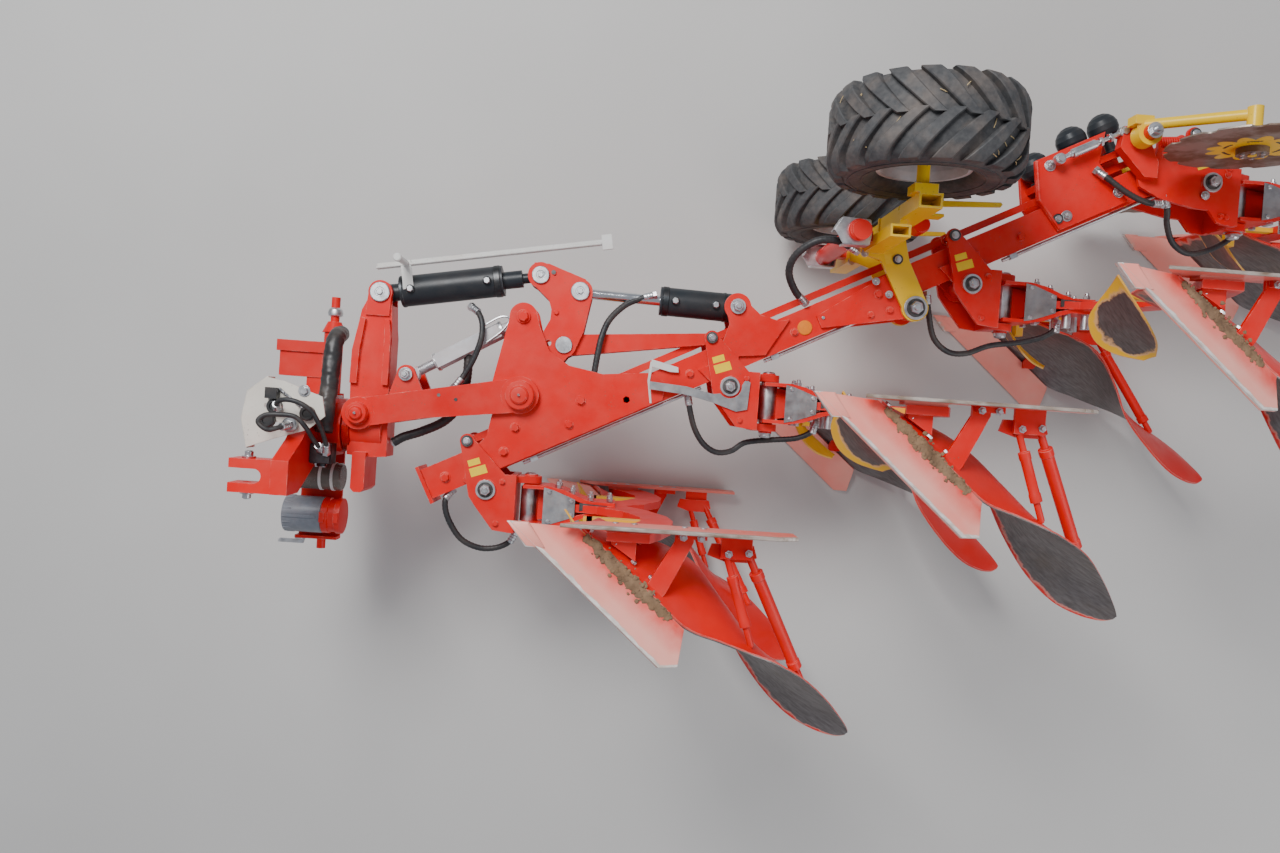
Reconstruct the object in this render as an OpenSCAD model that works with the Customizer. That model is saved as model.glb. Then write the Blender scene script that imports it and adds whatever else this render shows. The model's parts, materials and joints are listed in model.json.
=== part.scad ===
// Mounted reversible plough, four furrows, parked on its lower bodies and its lower wheel.
// Millimetres. The design frame has its origin at the first leg's pivot on the beam's
// mid-plane, +X against the direction of travel, +Y to the unploughed side, +Z up.
// Everything below the mid-plane mirrors what is above it.

/* [Stance] */
// Height of the beam's mid-plane over the ground
mid_height = 860; // [780:1:900]
// Spacing of the leg pivots along the beam
leg_pitch = 1020; // [950:1:1100]
// Angle between the beam and the direction of travel
beam_angle = 26.86; // [22:0.01:30]

/* [Beam] */
// Width of the square beam
beam_w = 120; // [110:1:124]
// Height of the square beam
beam_h = 130; // [110:1:140]
// Distance of the beam's middle from the line of the leg pivots
beam_side = 107; // [105:1:112]
// Beam left in front of the first leg pivot
beam_lead = 206; // [180:1:240]
// Beam left behind the last leg pivot
beam_tail = 50; // [30:1:90]
// Thickness of the plates on the beam
plate_t = 15; // [12:1:18]
// Clear height between a fixed plate and a turning one
plate_gap = 5.3; // [5:0.1:8]

/* [Legs] */
// Radius of the leg pivot pin
pivot_r = 25; // [20:1:28]
// Steering pin from the leg pivot, along X
arm_x = -82; // [-90:1:-70]
// Steering pin from the leg pivot, along Y
arm_y = 182; // [178:1:190]
// Radius of the steering pin
steer_pin_r = 10; // [8:0.5:12]
// Radius of the bracket's end round the steering pin
steer_eye_r = 28; // [24:1:34]
// Middle of the leg, from its pivot along Y
leg_y = -52; // [-60:1:-45]
// Thickness of the leg
leg_t = 30; // [24:1:36]
// Distance of the trip pin behind the leg pivot
trip_x = 164; // [155:1:175]
// Radius of the trip pin
trip_r = 26; // [20:1:28]

/* [Bodies] */
// Thickness of the mouldboard
board_t = 9; // [7:0.5:12]
// Thickness of the share
share_t = 14; // [12:0.5:16]
// Length of the landside's end from the leg pivot
landside_x = 1070; // [1000:1:1100]
// Depth of the landside
landside_h = 130; // [110:1:150]
// Thickness of the landside
landside_t = 12; // [10:1:16]
// Outer face of the landside from the leg pivot
landside_y = -14; // [-18:1:-10]

/* [Hitch] */
// Turnover axis from the first leg pivot, along Y
turn_y = 197; // [190:1:205]
// Radius of the turnover shaft
shaft_r = 45; // [38:1:50]
// Radius of the top link pin hole
top_bore_r = 16.2; // [12.5:0.1:20]
// Slot between the top link ears
top_slot = 52; // [48:1:60]
// Height of the top link pin over the mid-plane
top_z = 345; // [330:1:360]
// Depth of the lower link pins under the mid-plane
low_z = 350; // [330:1:380]
// Radius of the lower link pins
low_pin_r = 18.3; // [14:0.1:25]
// Length of a lower link pin
low_pin_l = 105; // [90:1:130]
// Width across the lower link shoulders
low_span = 865; // [825:1:965]

/* [Wheels] */
// Radius of the tyre
tyre_r = 330; // [300:1:360]
// Width of the tyre
tyre_w = 300; // [240:1:310]
// Radius of the rim
rim_r = 160; // [140:1:180]
// Height of the lugs
lug_h = 22; // [14:1:26]
// Middle of the wheels from the first leg pivot, along X
wheel_x = 1466; // [1440:1:1490]
// Middle of the wheels from the first leg pivot, along Y
wheel_y = 1335; // [1330:1:1360]
// Radius of the axle stub
axle_r = 22; // [18:1:26]

/* [Coulters] */
// Radius of a disc coulter
disc_r = 280; // [250:1:290]
// Height of the disc's middle over the mid-plane
disc_z = 420; // [400:1:430]
// Thickness of a disc
disc_t = 6; // [5:0.5:8]

/* [Cylinders] */
// Radius of the drag line cylinder's barrel
drag_r = 60; // [50:1:64]
// Radius of the width cylinder's barrel
width_r = 56; // [48:1:58]
// Radius of the piston rods
rod_r = 20; // [16:1:24]
// Running clearance round a pin
fit = 0.3; // [0.1:0.05:0.5]

/* [Hidden] */
$fn = 48;

red = "firebrick";
yellow = "gold";
steel = "lightslategray";
zinc = "silver";
black = "dimgray";

// Directions along and across the beam, and points given along and across it
beam_u = [cos(beam_angle), sin(beam_angle)];
beam_n = [-sin(beam_angle), cos(beam_angle)];
function on_beam(s, o) = s * beam_u + o * beam_n;
leg_count = 4;
beam_end = (leg_count - 1) * leg_pitch + beam_tail;
beam_in = beam_side - beam_w / 2;
beam_out = beam_side + beam_w / 2;

// Levels of the plates, upper half
lug_z = beam_h / 2;
lug_top = lug_z + plate_t;
turn_z = lug_top + plate_gap;
turn_top = turn_z + plate_t;

// Step between faces that would else lie in one plane
seam = 0.2;

// Pivots of the hitch linkage: yoke ends, and the same points carried to the beam
arm_foot = [-503, 260];
arm_head = [107, 371];
lever = [45, 470];
drag_foot = arm_foot + lever;
drag_head = arm_head + lever;
rod_head = [309, 789];
link_foot = [259, 577];
width_foot = on_beam(leg_pitch, 0) + [12, 311];
steer_2 = on_beam(leg_pitch, 0) + [arm_x, arm_y];
// Depth under the mid-plane of a point that high over the sole of a body
function sole(height) = mid_height - height;
furrow_foot = [-331, 421];
furrow_head = [99, 674];

// Levels of the linkage: rod in the middle, link bars over it, crank over them
rod_half = 15;
link_z = 20;
link_t = 16;
crank_z = 39;
crank_t = 16;
eye_half = 35;
wheel_pivot_s = 1800;
wheel_pivot = on_beam(wheel_pivot_s, 0);
wheel_z = mid_height - tyre_r;

// Rear saddle on the beam, and the middles of its pressure vessels, along and across the beam
saddle_s = 2440;
accu_r = 59;
accu_at = [[2486, 328], [2664, 366], [2801, 364]];

// Plan limits of the whole plough, for the origin under the middle of its box
fork_tip_x = -864;
rack_tip_x = -885;
wing_tip_x = 1353;
low_x = -745;
plan_low_x = rack_tip_x;
wing_back = 1.27;
plan_high_x = on_beam((leg_count - 1) * leg_pitch, 0).x + wing_tip_x + wing_back;
plan_low_y = -738;
plan_high_y = on_beam(accu_at[2].x, accu_at[2].y).y + accu_r;

module place() {
    translate([-(plan_low_x + plan_high_x) / 2, -(plan_low_y + plan_high_y) / 2, mid_height])
        children();
}

module both_halves() {
    children();
    mirror([0, 0, 1]) children();
}

module at_leg(i) {
    translate([on_beam(i * leg_pitch, 0).x, on_beam(i * leg_pitch, 0).y, 0]) children();
}

module along_beam() {
    rotate([0, 0, beam_angle]) children();
}

module slab(z, t) {
    translate([0, 0, z]) linear_extrude(t) children();
}

module disc2d(p, r) {
    translate(p) circle(r);
}

// Flat link with round ends of two radii
module link2d(a, b, ra, rb) {
    d = b - a;
    l = norm(d);
    k = acos((ra - rb) / l);
    translate(a) rotate(atan2(d.y, d.x)) {
        circle(ra);
        translate([l, 0]) circle(rb);
        polygon([(ra - seam) * [cos(k), sin(k)], [l, 0] + (rb - seam) * [cos(k), sin(k)],
            [l, 0] + (rb - seam) * [cos(k), -sin(k)], (ra - seam) * [cos(k), -sin(k)]]);
    }
}

// Round bar between two points
module bar(p, q, r) {
    v = q - p;
    l = norm(v);
    translate(p) rotate([0, acos(v.z / l), atan2(v.y, v.x)]) cylinder(h = l, r = r);
}

module post(p, z0, z1, r) {
    translate([p.x, p.y, z0]) cylinder(h = z1 - z0, r = r);
}

module along_y(x, y0, y1, z, r) {
    translate([x, y0, z]) rotate([-90, 0, 0]) cylinder(h = y1 - y0, r = r);
}

module along_x(x0, x1, y, z, r) {
    translate([x0, y, z]) rotate([0, 90, 0]) cylinder(h = x1 - x0, r = r);
}

// Closed shell between two equal grids of points, front and back
module shell(front, back) {
    rows = len(front);
    cols = len(front[0]);
    n = rows * cols;
    flat = concat([for (r = front) for (p = r) p], [for (r = back) for (p = r) p]);
    edge = concat(
        [for (j = [0:cols - 2]) [j, j + 1]],
        [for (i = [0:rows - 2]) [i * cols + cols - 1, (i + 1) * cols + cols - 1]],
        [for (j = [cols - 1:-1:1]) [(rows - 1) * cols + j, (rows - 1) * cols + j - 1]],
        [for (i = [rows - 1:-1:1]) [i * cols, (i - 1) * cols]]);
    faces = concat(
        [for (i = [0:rows - 2]) for (j = [0:cols - 2])
            for (t = [[0, cols + 1, 1], [0, cols, cols + 1]])
                [for (k = t) i * cols + j + k]],
        [for (i = [0:rows - 2]) for (j = [0:cols - 2])
            for (t = [[0, 1, cols + 1], [0, cols + 1, cols]])
                [for (k = t) n + i * cols + j + k]],
        [for (e = edge) [e[0], e[1], n + e[0]]],
        [for (e = edge) [e[1], n + e[1], n + e[0]]]);
    polyhedron(points = flat, faces = faces);
}

// Grid of a twisted board. Each row of a table holds x, y and height over the sole of its
// low edge, the same of its crest, and how far the middle bulges back
function unit(v) = v / norm(v);
function low_edge(r) = [r[0], r[1], sole(r[2])];
function crest(r) = [r[3], r[4], sole(r[5])];
function middle(r) = (low_edge(r) + crest(r)) / 2;
function back_dir(t, i) =
    let (a = middle(t[max(i - 1, 0)]), b = middle(t[min(i + 1, len(t) - 1)]))
    unit(cross(b - a, crest(t[i]) - low_edge(t[i])));
function board_grid(t, off, steps) = [for (i = [0:len(t) - 1])
    [for (j = [0:steps]) let (s = j / steps, b = back_dir(t, i))
        low_edge(t[i]) * (1 - s) + crest(t[i]) * s + b * (t[i][6] * 4 * s * (1 - s) + off)]];

// Low edge, crest and bulge of the mouldboard, from shin to wing tip
board_rows = [
    [394, -38.2, 60.4, 440, -46, 420, 10],
    [500, -127.6, 60.4, 560, -92, 428, 30],
    [620, -228.9, 60.4, 690, -130, 428, 40],
    [737, -328, 66, 800, -195, 424, 42],
    [850, -368, 76, 880, -320, 415, 44],
    [950, -402, 88, 950, -462, 400, 40],
    [1050, -442, 130, 1050, -595, 420, 34],
    [1150, -500, 176, 1150, -686, 418, 26],
    [1250, -588, 256, 1240, -728, 398, 16],
    [1330, -680, 322, 1310, -738, 370, 6],
    [wing_tip_x, -715, 344, wing_tip_x - 8, -727, 352, 1]];
board_steps = 6;

// Low edge, crest and bulge of the skimmer blade
skimmer_rows = [
    [325, -4, 300, 345, -66, 440, 4],
    [385, -82, 300, 345, -130, 515, 10],
    [445, -160, 304, 385, -205, 540, 14],
    [510, -222, 350, 450, -252, 515, 12],
    [552, -260, 420, 530, -274, 460, 2]];

/* Headstock */

fork_ear = 35;
fork_y = 21;
fork_half = top_slot / 2 + fork_ear;
fork_end_x = -750;
top_x = -812;
mast_x0 = -716;
mast_x1 = -656;
house_x0 = -770;
house_x1 = -572;
house_r = 96;
yoke_x = -566;
low_plate_y = 100;
cross_r = 40;

module mast_outline() {
    // Y and Z, seen from the front: the top link's ears stand off to the furrow side
    polygon([[fork_y - fork_half, top_z + 50], [fork_y + fork_half, top_z + 50],
        [150, top_z - 80], [turn_y + 105, 70], [turn_y + 118, -60], [turn_y + 112, -190],
        [turn_y - 112, -190], [turn_y - 116, 40], [fork_y - fork_half, top_z - 70]]);
}

module low_plate_outline() {
    // X and Z of a side plate down to the lower link shaft
    polygon([[-700, 60], [-606, 60], [-600, -80], [-680, -low_z - 48], [low_x - 10, -low_z - 56],
        [low_x - 52, -low_z - 20], [low_x - 50, -low_z + 30], [-716, -160]]);
}

module headstock() {
    color(red) difference() {
        union() {
            translate([mast_x0, 0, 0]) rotate([90, 0, 90]) linear_extrude(mast_x1 - mast_x0)
                mast_outline();
            translate([fork_tip_x, fork_y - fork_half + 1, top_z - 48])
                cube([mast_x0 + 10 - fork_tip_x, 2 * fork_half - 2, 96]);
            along_x(house_x0, house_x1, turn_y, 0, house_r);
            for (s = [-1, 1])
                translate([0, turn_y + s * low_plate_y + 10, 0]) rotate([90, 0, 0])
                    linear_extrude(20) low_plate_outline();
            along_y(low_x, turn_y - low_plate_y - 30, turn_y + low_plate_y + 30, -low_z, cross_r + 16);
            // Stop bracket on the far side
            translate([-760, turn_y + 90, -150]) cube([70, 130, 80]);
            translate([-869, 386, -160]) cube([169, 104, 96]);
            translate([-880, 484, -170]) cube([190, 44, 116]);
            // Carrier under the two tubes
            translate([-776, -262, -152]) cube([166, 262 + turn_y - 60, 12]);
            translate([-776, -262, -152]) cube([166, 12, 60]);
        }
        along_x(house_x0 - 10, house_x1 + 10, turn_y, 0, shaft_r + fit);
        along_y(top_x, -200, 200, top_z, top_bore_r);
        along_y(low_x, -300, 400, -low_z, cross_r + fit);
        translate([fork_tip_x - 10, fork_y - top_slot / 2, top_z - 80])
            cube([fork_end_x - top_slot / 2 - fork_tip_x + 10, top_slot, 160]);
        post([fork_end_x - top_slot / 2, fork_y], top_z - 80, top_z + 80, top_slot / 2);
    }
}

module cross_shaft() {
    half = low_span / 2;
    color(red) translate([0, turn_y, 0]) {
        along_y(low_x, -half + 46, half - 46, -low_z, cross_r);
        for (s = [-1, 1]) {
            translate([low_x, s * (half - 46.5), -low_z]) rotate([-90 * s, 0, 0])
                cylinder(h = 46.5, r1 = cross_r + 10, r2 = 28);
            translate([low_x, s * (half - 1), -low_z]) rotate([-90 * s, 0, 0])
                cylinder(h = low_pin_l + 1, r = low_pin_r);
        }
    }
}

rack_z = 250;
rack_outline = [[-797, 373], [-735, 362], [-594, 314], [-580, 244], [-640, 190], [-760, 150],
    [-858, 112], [-882, 218], [-866, 316]];
module hose_rack() {
    color("seashell") {
        slab(rack_z, 6) difference() {
            polygon(rack_outline);
            translate([-800, 262]) square([70, 14]);
            translate([-820, 196]) square([80, 14]);
        }
        slab(rack_z - 70, 72) {
            for (k = [[8, 0], [7, 8], [6, 7]]) hull() {
                disc2d(rack_outline[k[0]], 3);
                disc2d(rack_outline[k[1]], 3);
            }
        }
        post([mast_x0 - 14 - fit, 205], house_r + 1, rack_z + 2, 14);
    }
}

doc_y = -160;
doc_z = -67.7;
doc_r = 72;
clear_r = 54;
module tool_tubes() {
    // Document tube and clear tube on the furrow side of the mast
    color("slategray") {
        along_x(-806, -578, doc_y, doc_z, doc_r);
        along_x(-812, -786, doc_y, doc_z, doc_r + 3);
        along_x(-770, -578, 0, -28, clear_r);
        along_x(-775, -742, 0, -28, clear_r + 3);
        translate([-720, -60, -139.7]) cube([60, 120, 60]);
    }
}

module valve_block() {
    color(black) {
        translate([mast_x1 + fit, turn_y - 135, 94]) cube([78, 76, 66]);
        along_y(-620, turn_y - 146, turn_y - 130, 130, 18);
    }
}

sleeve_r = 34;
module hose_sleeve() {
    // Sleeve round the hoses, from the block over the housing to the far side
    a = [-614, turn_y + 352, 60];
    b = [-616, turn_y + 200, 100];
    c = [-614, turn_y - 16, 146];
    color(black) {
        bar(a, b, sleeve_r);
        bar(b, c, sleeve_r);
        for (p = [a, b]) translate(p) sphere(sleeve_r + 2);
        bar(a, a + [-20, 20, -120], sleeve_r);
        // Foot that carries the sleeve on the turnover housing
        post([-612, turn_y + 12], house_r + fit, 120, 14);
    }
}

/* Turnover yoke */

module yoke_arm2d() {
    polygon([[-553, 374], [-551, 500], [-526, 660], [-500, 712], [-414, 712], [-404, 560],
        [-404, 331], [-420, 216], [-548, 216]]);
    disc2d(arm_foot, 62);
}

module turnover_yoke() {
    color(red) difference() {
        union() {
            slab(-52, 104) yoke_arm2d();
            both_halves() slab(50, 20) {
                polygon([[-552, 374], [-550, 500], [-526, 630], [-506, 625], [-522, 500], [-526, 374]]);
                polygon([[-430, 374], [-430, 560], [-434, 625], [-414, 625], [-406, 560], [-406, 374]]);
            }
            slab(-60, 120) polygon([[-548, 300], [-398, 300], [-396, 97], [-450, 92], [-548, 97]]);
            along_x(yoke_x, -420, turn_y, 0, 78);
            slab(-90, 180) polygon([[-519, 110], [-467, 110], [-467, -30], [-480, -44], [-506, -44],
                [-519, -30]]);
            along_x(house_x0 - 8, yoke_x + 5, turn_y, 0, shaft_r);
            post(arm_foot, -lug_top + 1, lug_top - 1, 62);
            both_halves() slab(40, 22) {
                disc2d(drag_foot, 46);
                polygon([drag_foot + [-44, 4], drag_foot + [-52, -90], drag_foot + [40, -90],
                    drag_foot + [44, 4]]);
            }
        }
        slab(-40, 80) disc2d(drag_foot, 66);
        post(arm_foot, -200, 200, 30 + fit);
    }
    color(red) post(drag_foot, -66, 66, 20);
}

/* Beam and what is fixed to it */

module main_beam() {
    color(red) along_beam() {
        difference() {
            translate([-beam_lead, beam_in, -beam_h / 2])
                cube([beam_end + beam_lead, beam_w, beam_h]);
            translate([-beam_lead - 1, beam_in + 10, -beam_h / 2 + 10])
                cube([beam_end + beam_lead + 2, beam_w - 20, beam_h - 20]);
        }
        translate([-beam_lead - 14, beam_in - 16, -beam_h / 2 - 16])
            cube([14, beam_w + 32, beam_h + 32]);
    }
}

// Lug that carries a leg pivot beside the beam
module lug2d(s) {
    translate([s, 0]) {
        polygon([[-85, beam_side], [85, beam_side], [44, 10], [-44, 10]]);
        circle(50);
    }
}
module pivot_hole() {
    circle(pivot_r + fit);
}

module beam_plates() {
    color(red) along_beam() {
        both_halves() difference() {
            union() {
                for (i = [1:leg_count - 1]) slab(lug_z + seam, plate_t - 2 * seam) lug2d(i * leg_pitch);
                for (i = [1:leg_count - 1]) slab(lug_top - 1, plate_gap - fit + 1)
                    disc2d([i * leg_pitch, 0], 42);
                slab(lug_z, plate_t) {
                    polygon([[wheel_pivot_s - 360, 70], [wheel_pivot_s - 360, 120],
                        [wheel_pivot_s - 45, beam_out - 4], [wheel_pivot_s + 60, 110],
                        [wheel_pivot_s + 44, 10], [wheel_pivot_s - 40, -25]]);
                    disc2d([wheel_pivot_s, 0], 50);
                }
                slab(lug_top - 1, plate_gap - fit + 1) disc2d([wheel_pivot_s, 0], 42);
            }
            for (i = [1:leg_count - 1]) slab(0, 200) translate([i * leg_pitch, 0]) pivot_hole();
            slab(0, 200) translate([wheel_pivot_s, 0]) pivot_hole();
        }
        for (s = concat([for (i = [1:leg_count - 1]) i * leg_pitch], [wheel_pivot_s]))
            translate([s, 0, -lug_z]) difference() {
                cylinder(h = 2 * lug_z, r = 34);
                translate([0, 0, -1]) cylinder(h = 2 * lug_z + 2, r = pivot_r + fit);
            }
    }
    // Ears that hold the width cylinder's barrel
    color(red) both_halves() slab(lug_z, plate_t) difference() {
        union() {
            disc2d(width_foot, 52);
            polygon([width_foot + [-51, 10], width_foot + [51, 8], width_foot + [90, -25],
                width_foot + [165, -44], width_foot + [205, -35], width_foot + [120, -180],
                width_foot + [-60, -200], width_foot + [-46, -130], width_foot + [-27, -69]]);
        }
        disc2d(width_foot, 20 + fit);
        at_leg(1) pivot_hole();
        translate(on_beam(leg_pitch, 0)) circle(110);
    }
}

front_edge = [[50, 684], [-7, 402], [3, 290], [-13, 205], [-47, 165]];
module front_plates() {
    color(red) both_halves() difference() {
        union() {
            slab(lug_z, plate_t)
                polygon(concat(front_edge, [on_beam(-70, beam_in + 20), on_beam(-44, 10),
                    on_beam(44, 10), on_beam(80, beam_in + 6), on_beam(760, beam_in + 6),
                    on_beam(800, beam_side), on_beam(760, beam_out), [419, 474], [286, 498],
                    [207, 548], [164, 639], [150, 690], [52, 690]]));
            slab(lug_z + seam, plate_t - 2 * seam) {
                disc2d(furrow_head, 54);
                circle(50);
            }
            slab(lug_top - 1, plate_gap - fit + 1) circle(42);
            post(arm_head, 0, lug_z + 1, 45);
        }
        slab(0, 200) pivot_hole();
        slab(0, 200) disc2d(furrow_head, 14);
        slab(0, 200) disc2d(arm_head, 38);
    }
    color(red) difference() {
        post([0, 0], -lug_z, lug_z, 34);
        post([0, 0], -lug_z - 1, lug_z + 1, pivot_r + fit);
    }
}

module carrier_arms() {
    color(red) {
        both_halves() difference() {
            union() {
                slab(lug_top, 26)
                    polygon([[-510, 204], [-250, 258], [104, 304], [104, 438], [-230, 372], [-510, 316]]);
                slab(lug_top + seam, 26 + seam) {
                    disc2d(arm_foot, 62);
                    disc2d(arm_head, 72);
                }
                slab(lug_top + seam, 20) {
                    disc2d(furrow_foot, 36);
                    polygon([furrow_foot + [-35, 4], furrow_foot + [-60, -80],
                        furrow_foot + [70, -70], furrow_foot + [33, 12]]);
                }
                slab(lug_top + 20, 28) {
                    disc2d(arm_head, 56);
                    disc2d(arm_foot, 42);
                }
            }
            slab(0, 200) disc2d(furrow_foot, 16);
        }
        post(arm_head, -lug_top, lug_top, 37.7);
        post(arm_foot, -lug_top, lug_top, 30);
    }
}

module furrow_cylinder() {
    a = [furrow_foot.x, furrow_foot.y, 0];
    b = [furrow_head.x, furrow_head.y, 0];
    d = unit(b - a);
    color(zinc) {
        difference() {
            union() {
                post(furrow_foot, -20, 20, 34);
                bar(a + 30 * d, a + 110 * d, 18);
                bar(a + 105 * d, a + 400 * d, 34);
                bar(a + 400 * d, b - 30 * d, 20);
                post(furrow_head, -20, 20, 36);
            }
        }
        post(furrow_foot, -lug_top - 30, lug_top + 30, 15.7);
        post(furrow_head, -lug_top - 6, lug_top + 6, 13.7);
    }
}

saddle_wall = 236;
saddle_wall_t = 26;
ball_steps = 8;
module rear_saddle() {
    color(red) along_beam() {
        both_halves() slab(lug_z, plate_t) polygon([[saddle_s, 60], [saddle_s - 30, 200],
            [saddle_s + 20, 345], [saddle_s + 320, 345], [saddle_s + 250, 240],
            [saddle_s + 300, 60]]);
        translate([saddle_s + 10, saddle_wall, -lug_z])
            cube([accu_at[2].x + 30 - saddle_s - 10, saddle_wall_t, 2 * lug_z]);
    }
}

module accumulators() {
    // Each vessel is one turned form: flange, neck and ball
    foot = saddle_wall + saddle_wall_t + fit;
    neck_r = 20;
    first = asin(neck_r / accu_r);
    color(black) along_beam() for (p = accu_at)
        translate([p.x, foot, 0]) rotate([-90, 0, 0]) rotate_extrude()
            polygon(concat([[0, 0], [34, 0], [34, 8], [neck_r, 8]],
                [for (k = [0:ball_steps]) let (a = first + k * (180 - first) / ball_steps)
                    [k == ball_steps ? 0 : accu_r * sin(a), p.y - foot - accu_r * cos(a)]]));
}

pipe_r = 7;
pipe_off = 9.5;
module steel_pipe() {
    // Pipe along the beam's furrow side between the legs, held by clamps
    color(zinc) along_beam() for (i = [0:leg_count - 2]) {
        s = i * leg_pitch + 168;
        l = i == 1 ? wheel_pivot_s - 60 - s : leg_pitch - 268;
        along_x(s, s + l, beam_in - pipe_off, lug_z - 20, pipe_r);
        for (k = [0, 1]) translate([s + 30 + k * (l - 90), beam_in - 20, lug_z - 32])
            cube([30, 20, 24]);
    }
}

/* Width linkage */

crank_outline = [[126, 888], [182, 887], [327, 837], [357, 778], [345, 711], [332, 634],
    [310, 577], [245, 490], [175, 350], [44, 385], [170, 610], [200, 672], [202, 710],
    [190, 746], [140, 790], [104, 825]];
module crank_plates() {
    color(red) {
        both_halves() slab(crank_z, crank_t) difference() {
            union() {
                polygon(crank_outline);
                disc2d(drag_head, 50);
                disc2d(rod_head, 48);
                disc2d(link_foot, 48);
                disc2d(arm_head, 72);
            }
            disc2d(arm_head, 45 + fit);
            disc2d([198, 581], 12);
            disc2d([205, 850], 9);
        }
        post(link_foot, -crank_z - crank_t - 4, crank_z + crank_t + 4, link_pin_r);
        post(drag_head, -crank_z - crank_t - 4, crank_z + crank_t + 4, 18);
        both_halves() post(rod_head, crank_z, crank_z + crank_t + 4, 30);
        post([290, 690], -crank_z, crank_z, 14);
    }
}

module drag_cylinder() {
    a = [drag_foot.x, drag_foot.y, 0];
    d = unit([drag_head.x - drag_foot.x, drag_head.y - drag_foot.y, 0]);
    l = norm(drag_head - drag_foot);
    color(black) difference() {
        union() {
            post(drag_foot, -eye_half, eye_half, 44);
            bar(a + 30 * d, a + 72 * d, 34);
            bar(a + 70 * d, a + 470 * d, drag_r);
            bar(a + 470 * d, a + 545 * d, 34);
            bar(a + 540 * d, a + (l - 20) * d, rod_r);
            post(drag_head, -eye_half, eye_half, 38);
        }
        post(drag_foot, -60, 60, 20 + fit);
        post(drag_head, -60, 60, 22);
    }
}

module scale_bar() {
    // Scale and its post on the drag line cylinder's barrel
    d = unit([drag_head.x - drag_foot.x, drag_head.y - drag_foot.y]);
    ang = atan2(d.y, d.x);
    color("white") translate([drag_foot.x, drag_foot.y, 0]) rotate([0, 0, ang]) {
        translate([0, 88, drag_r - 14]) cube([900, 22, 14]);
        translate([870, 70, drag_r - 14]) cube([40, 58, 14]);
        translate([90, 0, drag_r]) translate([0, 0, 0]) cube([40, 110, 6]);
        translate([110, 100, drag_r]) cylinder(h = 150, r = 12);
    }
}

// Play round the link's open end, which leaves its pin by up to 9.6 mm over the whole range
link_play = 10.4;
link_pin_r = 18;
link_foot_r = link_pin_r + link_play + 13.6;
link_eye_r = 22;
module control_link() {
    color(red) {
        both_halves() slab(link_z, link_t) difference() {
            link2d(link_foot, steer_2, link_foot_r, link_eye_r);
            disc2d(link_foot, link_pin_r + link_play);
            disc2d(steer_2, steer_pin_r + fit);
        }
        m = (link_foot + steer_2) / 2;
        post(m, -link_z, link_z, 16);
    }
}

module width_barrel() {
    a = [width_foot.x, width_foot.y, 0];
    b = [rod_head.x, rod_head.y, 0];
    d = unit(b - a);
    color(black) difference() {
        union() {
            post(width_foot, -lug_z + 1, lug_z - 1, 44);
            bar(a + 20 * d, a + 300 * d, width_r);
            post(width_foot, -lug_top - 8, lug_top + 8, 20);
        }
        bar(a + 120 * d, a + 320 * d, rod_r + 0.3);
    }
}

module width_rod() {
    a = [width_foot.x, width_foot.y, 0];
    b = [rod_head.x, rod_head.y, 0];
    d = unit(b - a);
    color(zinc) difference() {
        union() {
            bar(a + 240 * d, b - 20 * d, rod_r);
            post(rod_head, -eye_half, eye_half, 38);
        }
        post(rod_head, -60, 60, 20);
    }
}

module steering_rod() {
    first = [arm_x, arm_y];
    color(red) difference() {
        union() {
            translate([first.x, first.y, -rod_half]) rotate([0, 0, beam_angle])
                translate([0, -14, 2]) cube([(leg_count - 1) * leg_pitch, 28, 2 * rod_half - 4]);
            for (i = [0:leg_count - 1])
                post(first + on_beam(i * leg_pitch, 0), -rod_half, rod_half, 22);
            post(first + wheel_pivot, -rod_half, rod_half, 22);
        }
        post(first, -30, 30, steer_pin_r + fit);
        for (i = [1:leg_count - 1])
            post(first + on_beam(i * leg_pitch, 0), -30, 30, steer_pin_r + 3);
        post(first + wheel_pivot, -30, 30, steer_pin_r + 3);
    }
}

module width_pointer() {
    // Grey pointer that turns with the second leg, over its bracket
    color(steel) at_leg(1) slab(turn_top, 8) difference() {
        polygon([[-309, -2], [-166, -12], [-65, -34], [30, -20], [60, 30], [78, 20],
            [72, -85], [30, -96], [-65, -66], [-166, -44], [-309, -32]]);
        circle(46);
    }
}

module width_scale() {
    // White arc and its holder on the beam, read at the pointer's tip
    color("white") at_leg(1) {
        slab(lug_top, 3) polygon([[-308, 84], [-203, 60], [-200, 40], [-232, 40], [-305, 56]]);
        slab(lug_top + seam, 3) polygon([[-311, 75], [-318, 0], [-304, -86], [-296, -86], [-308, 0],
            [-301, 75]]);
    }
}

/* Wheels */

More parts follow.
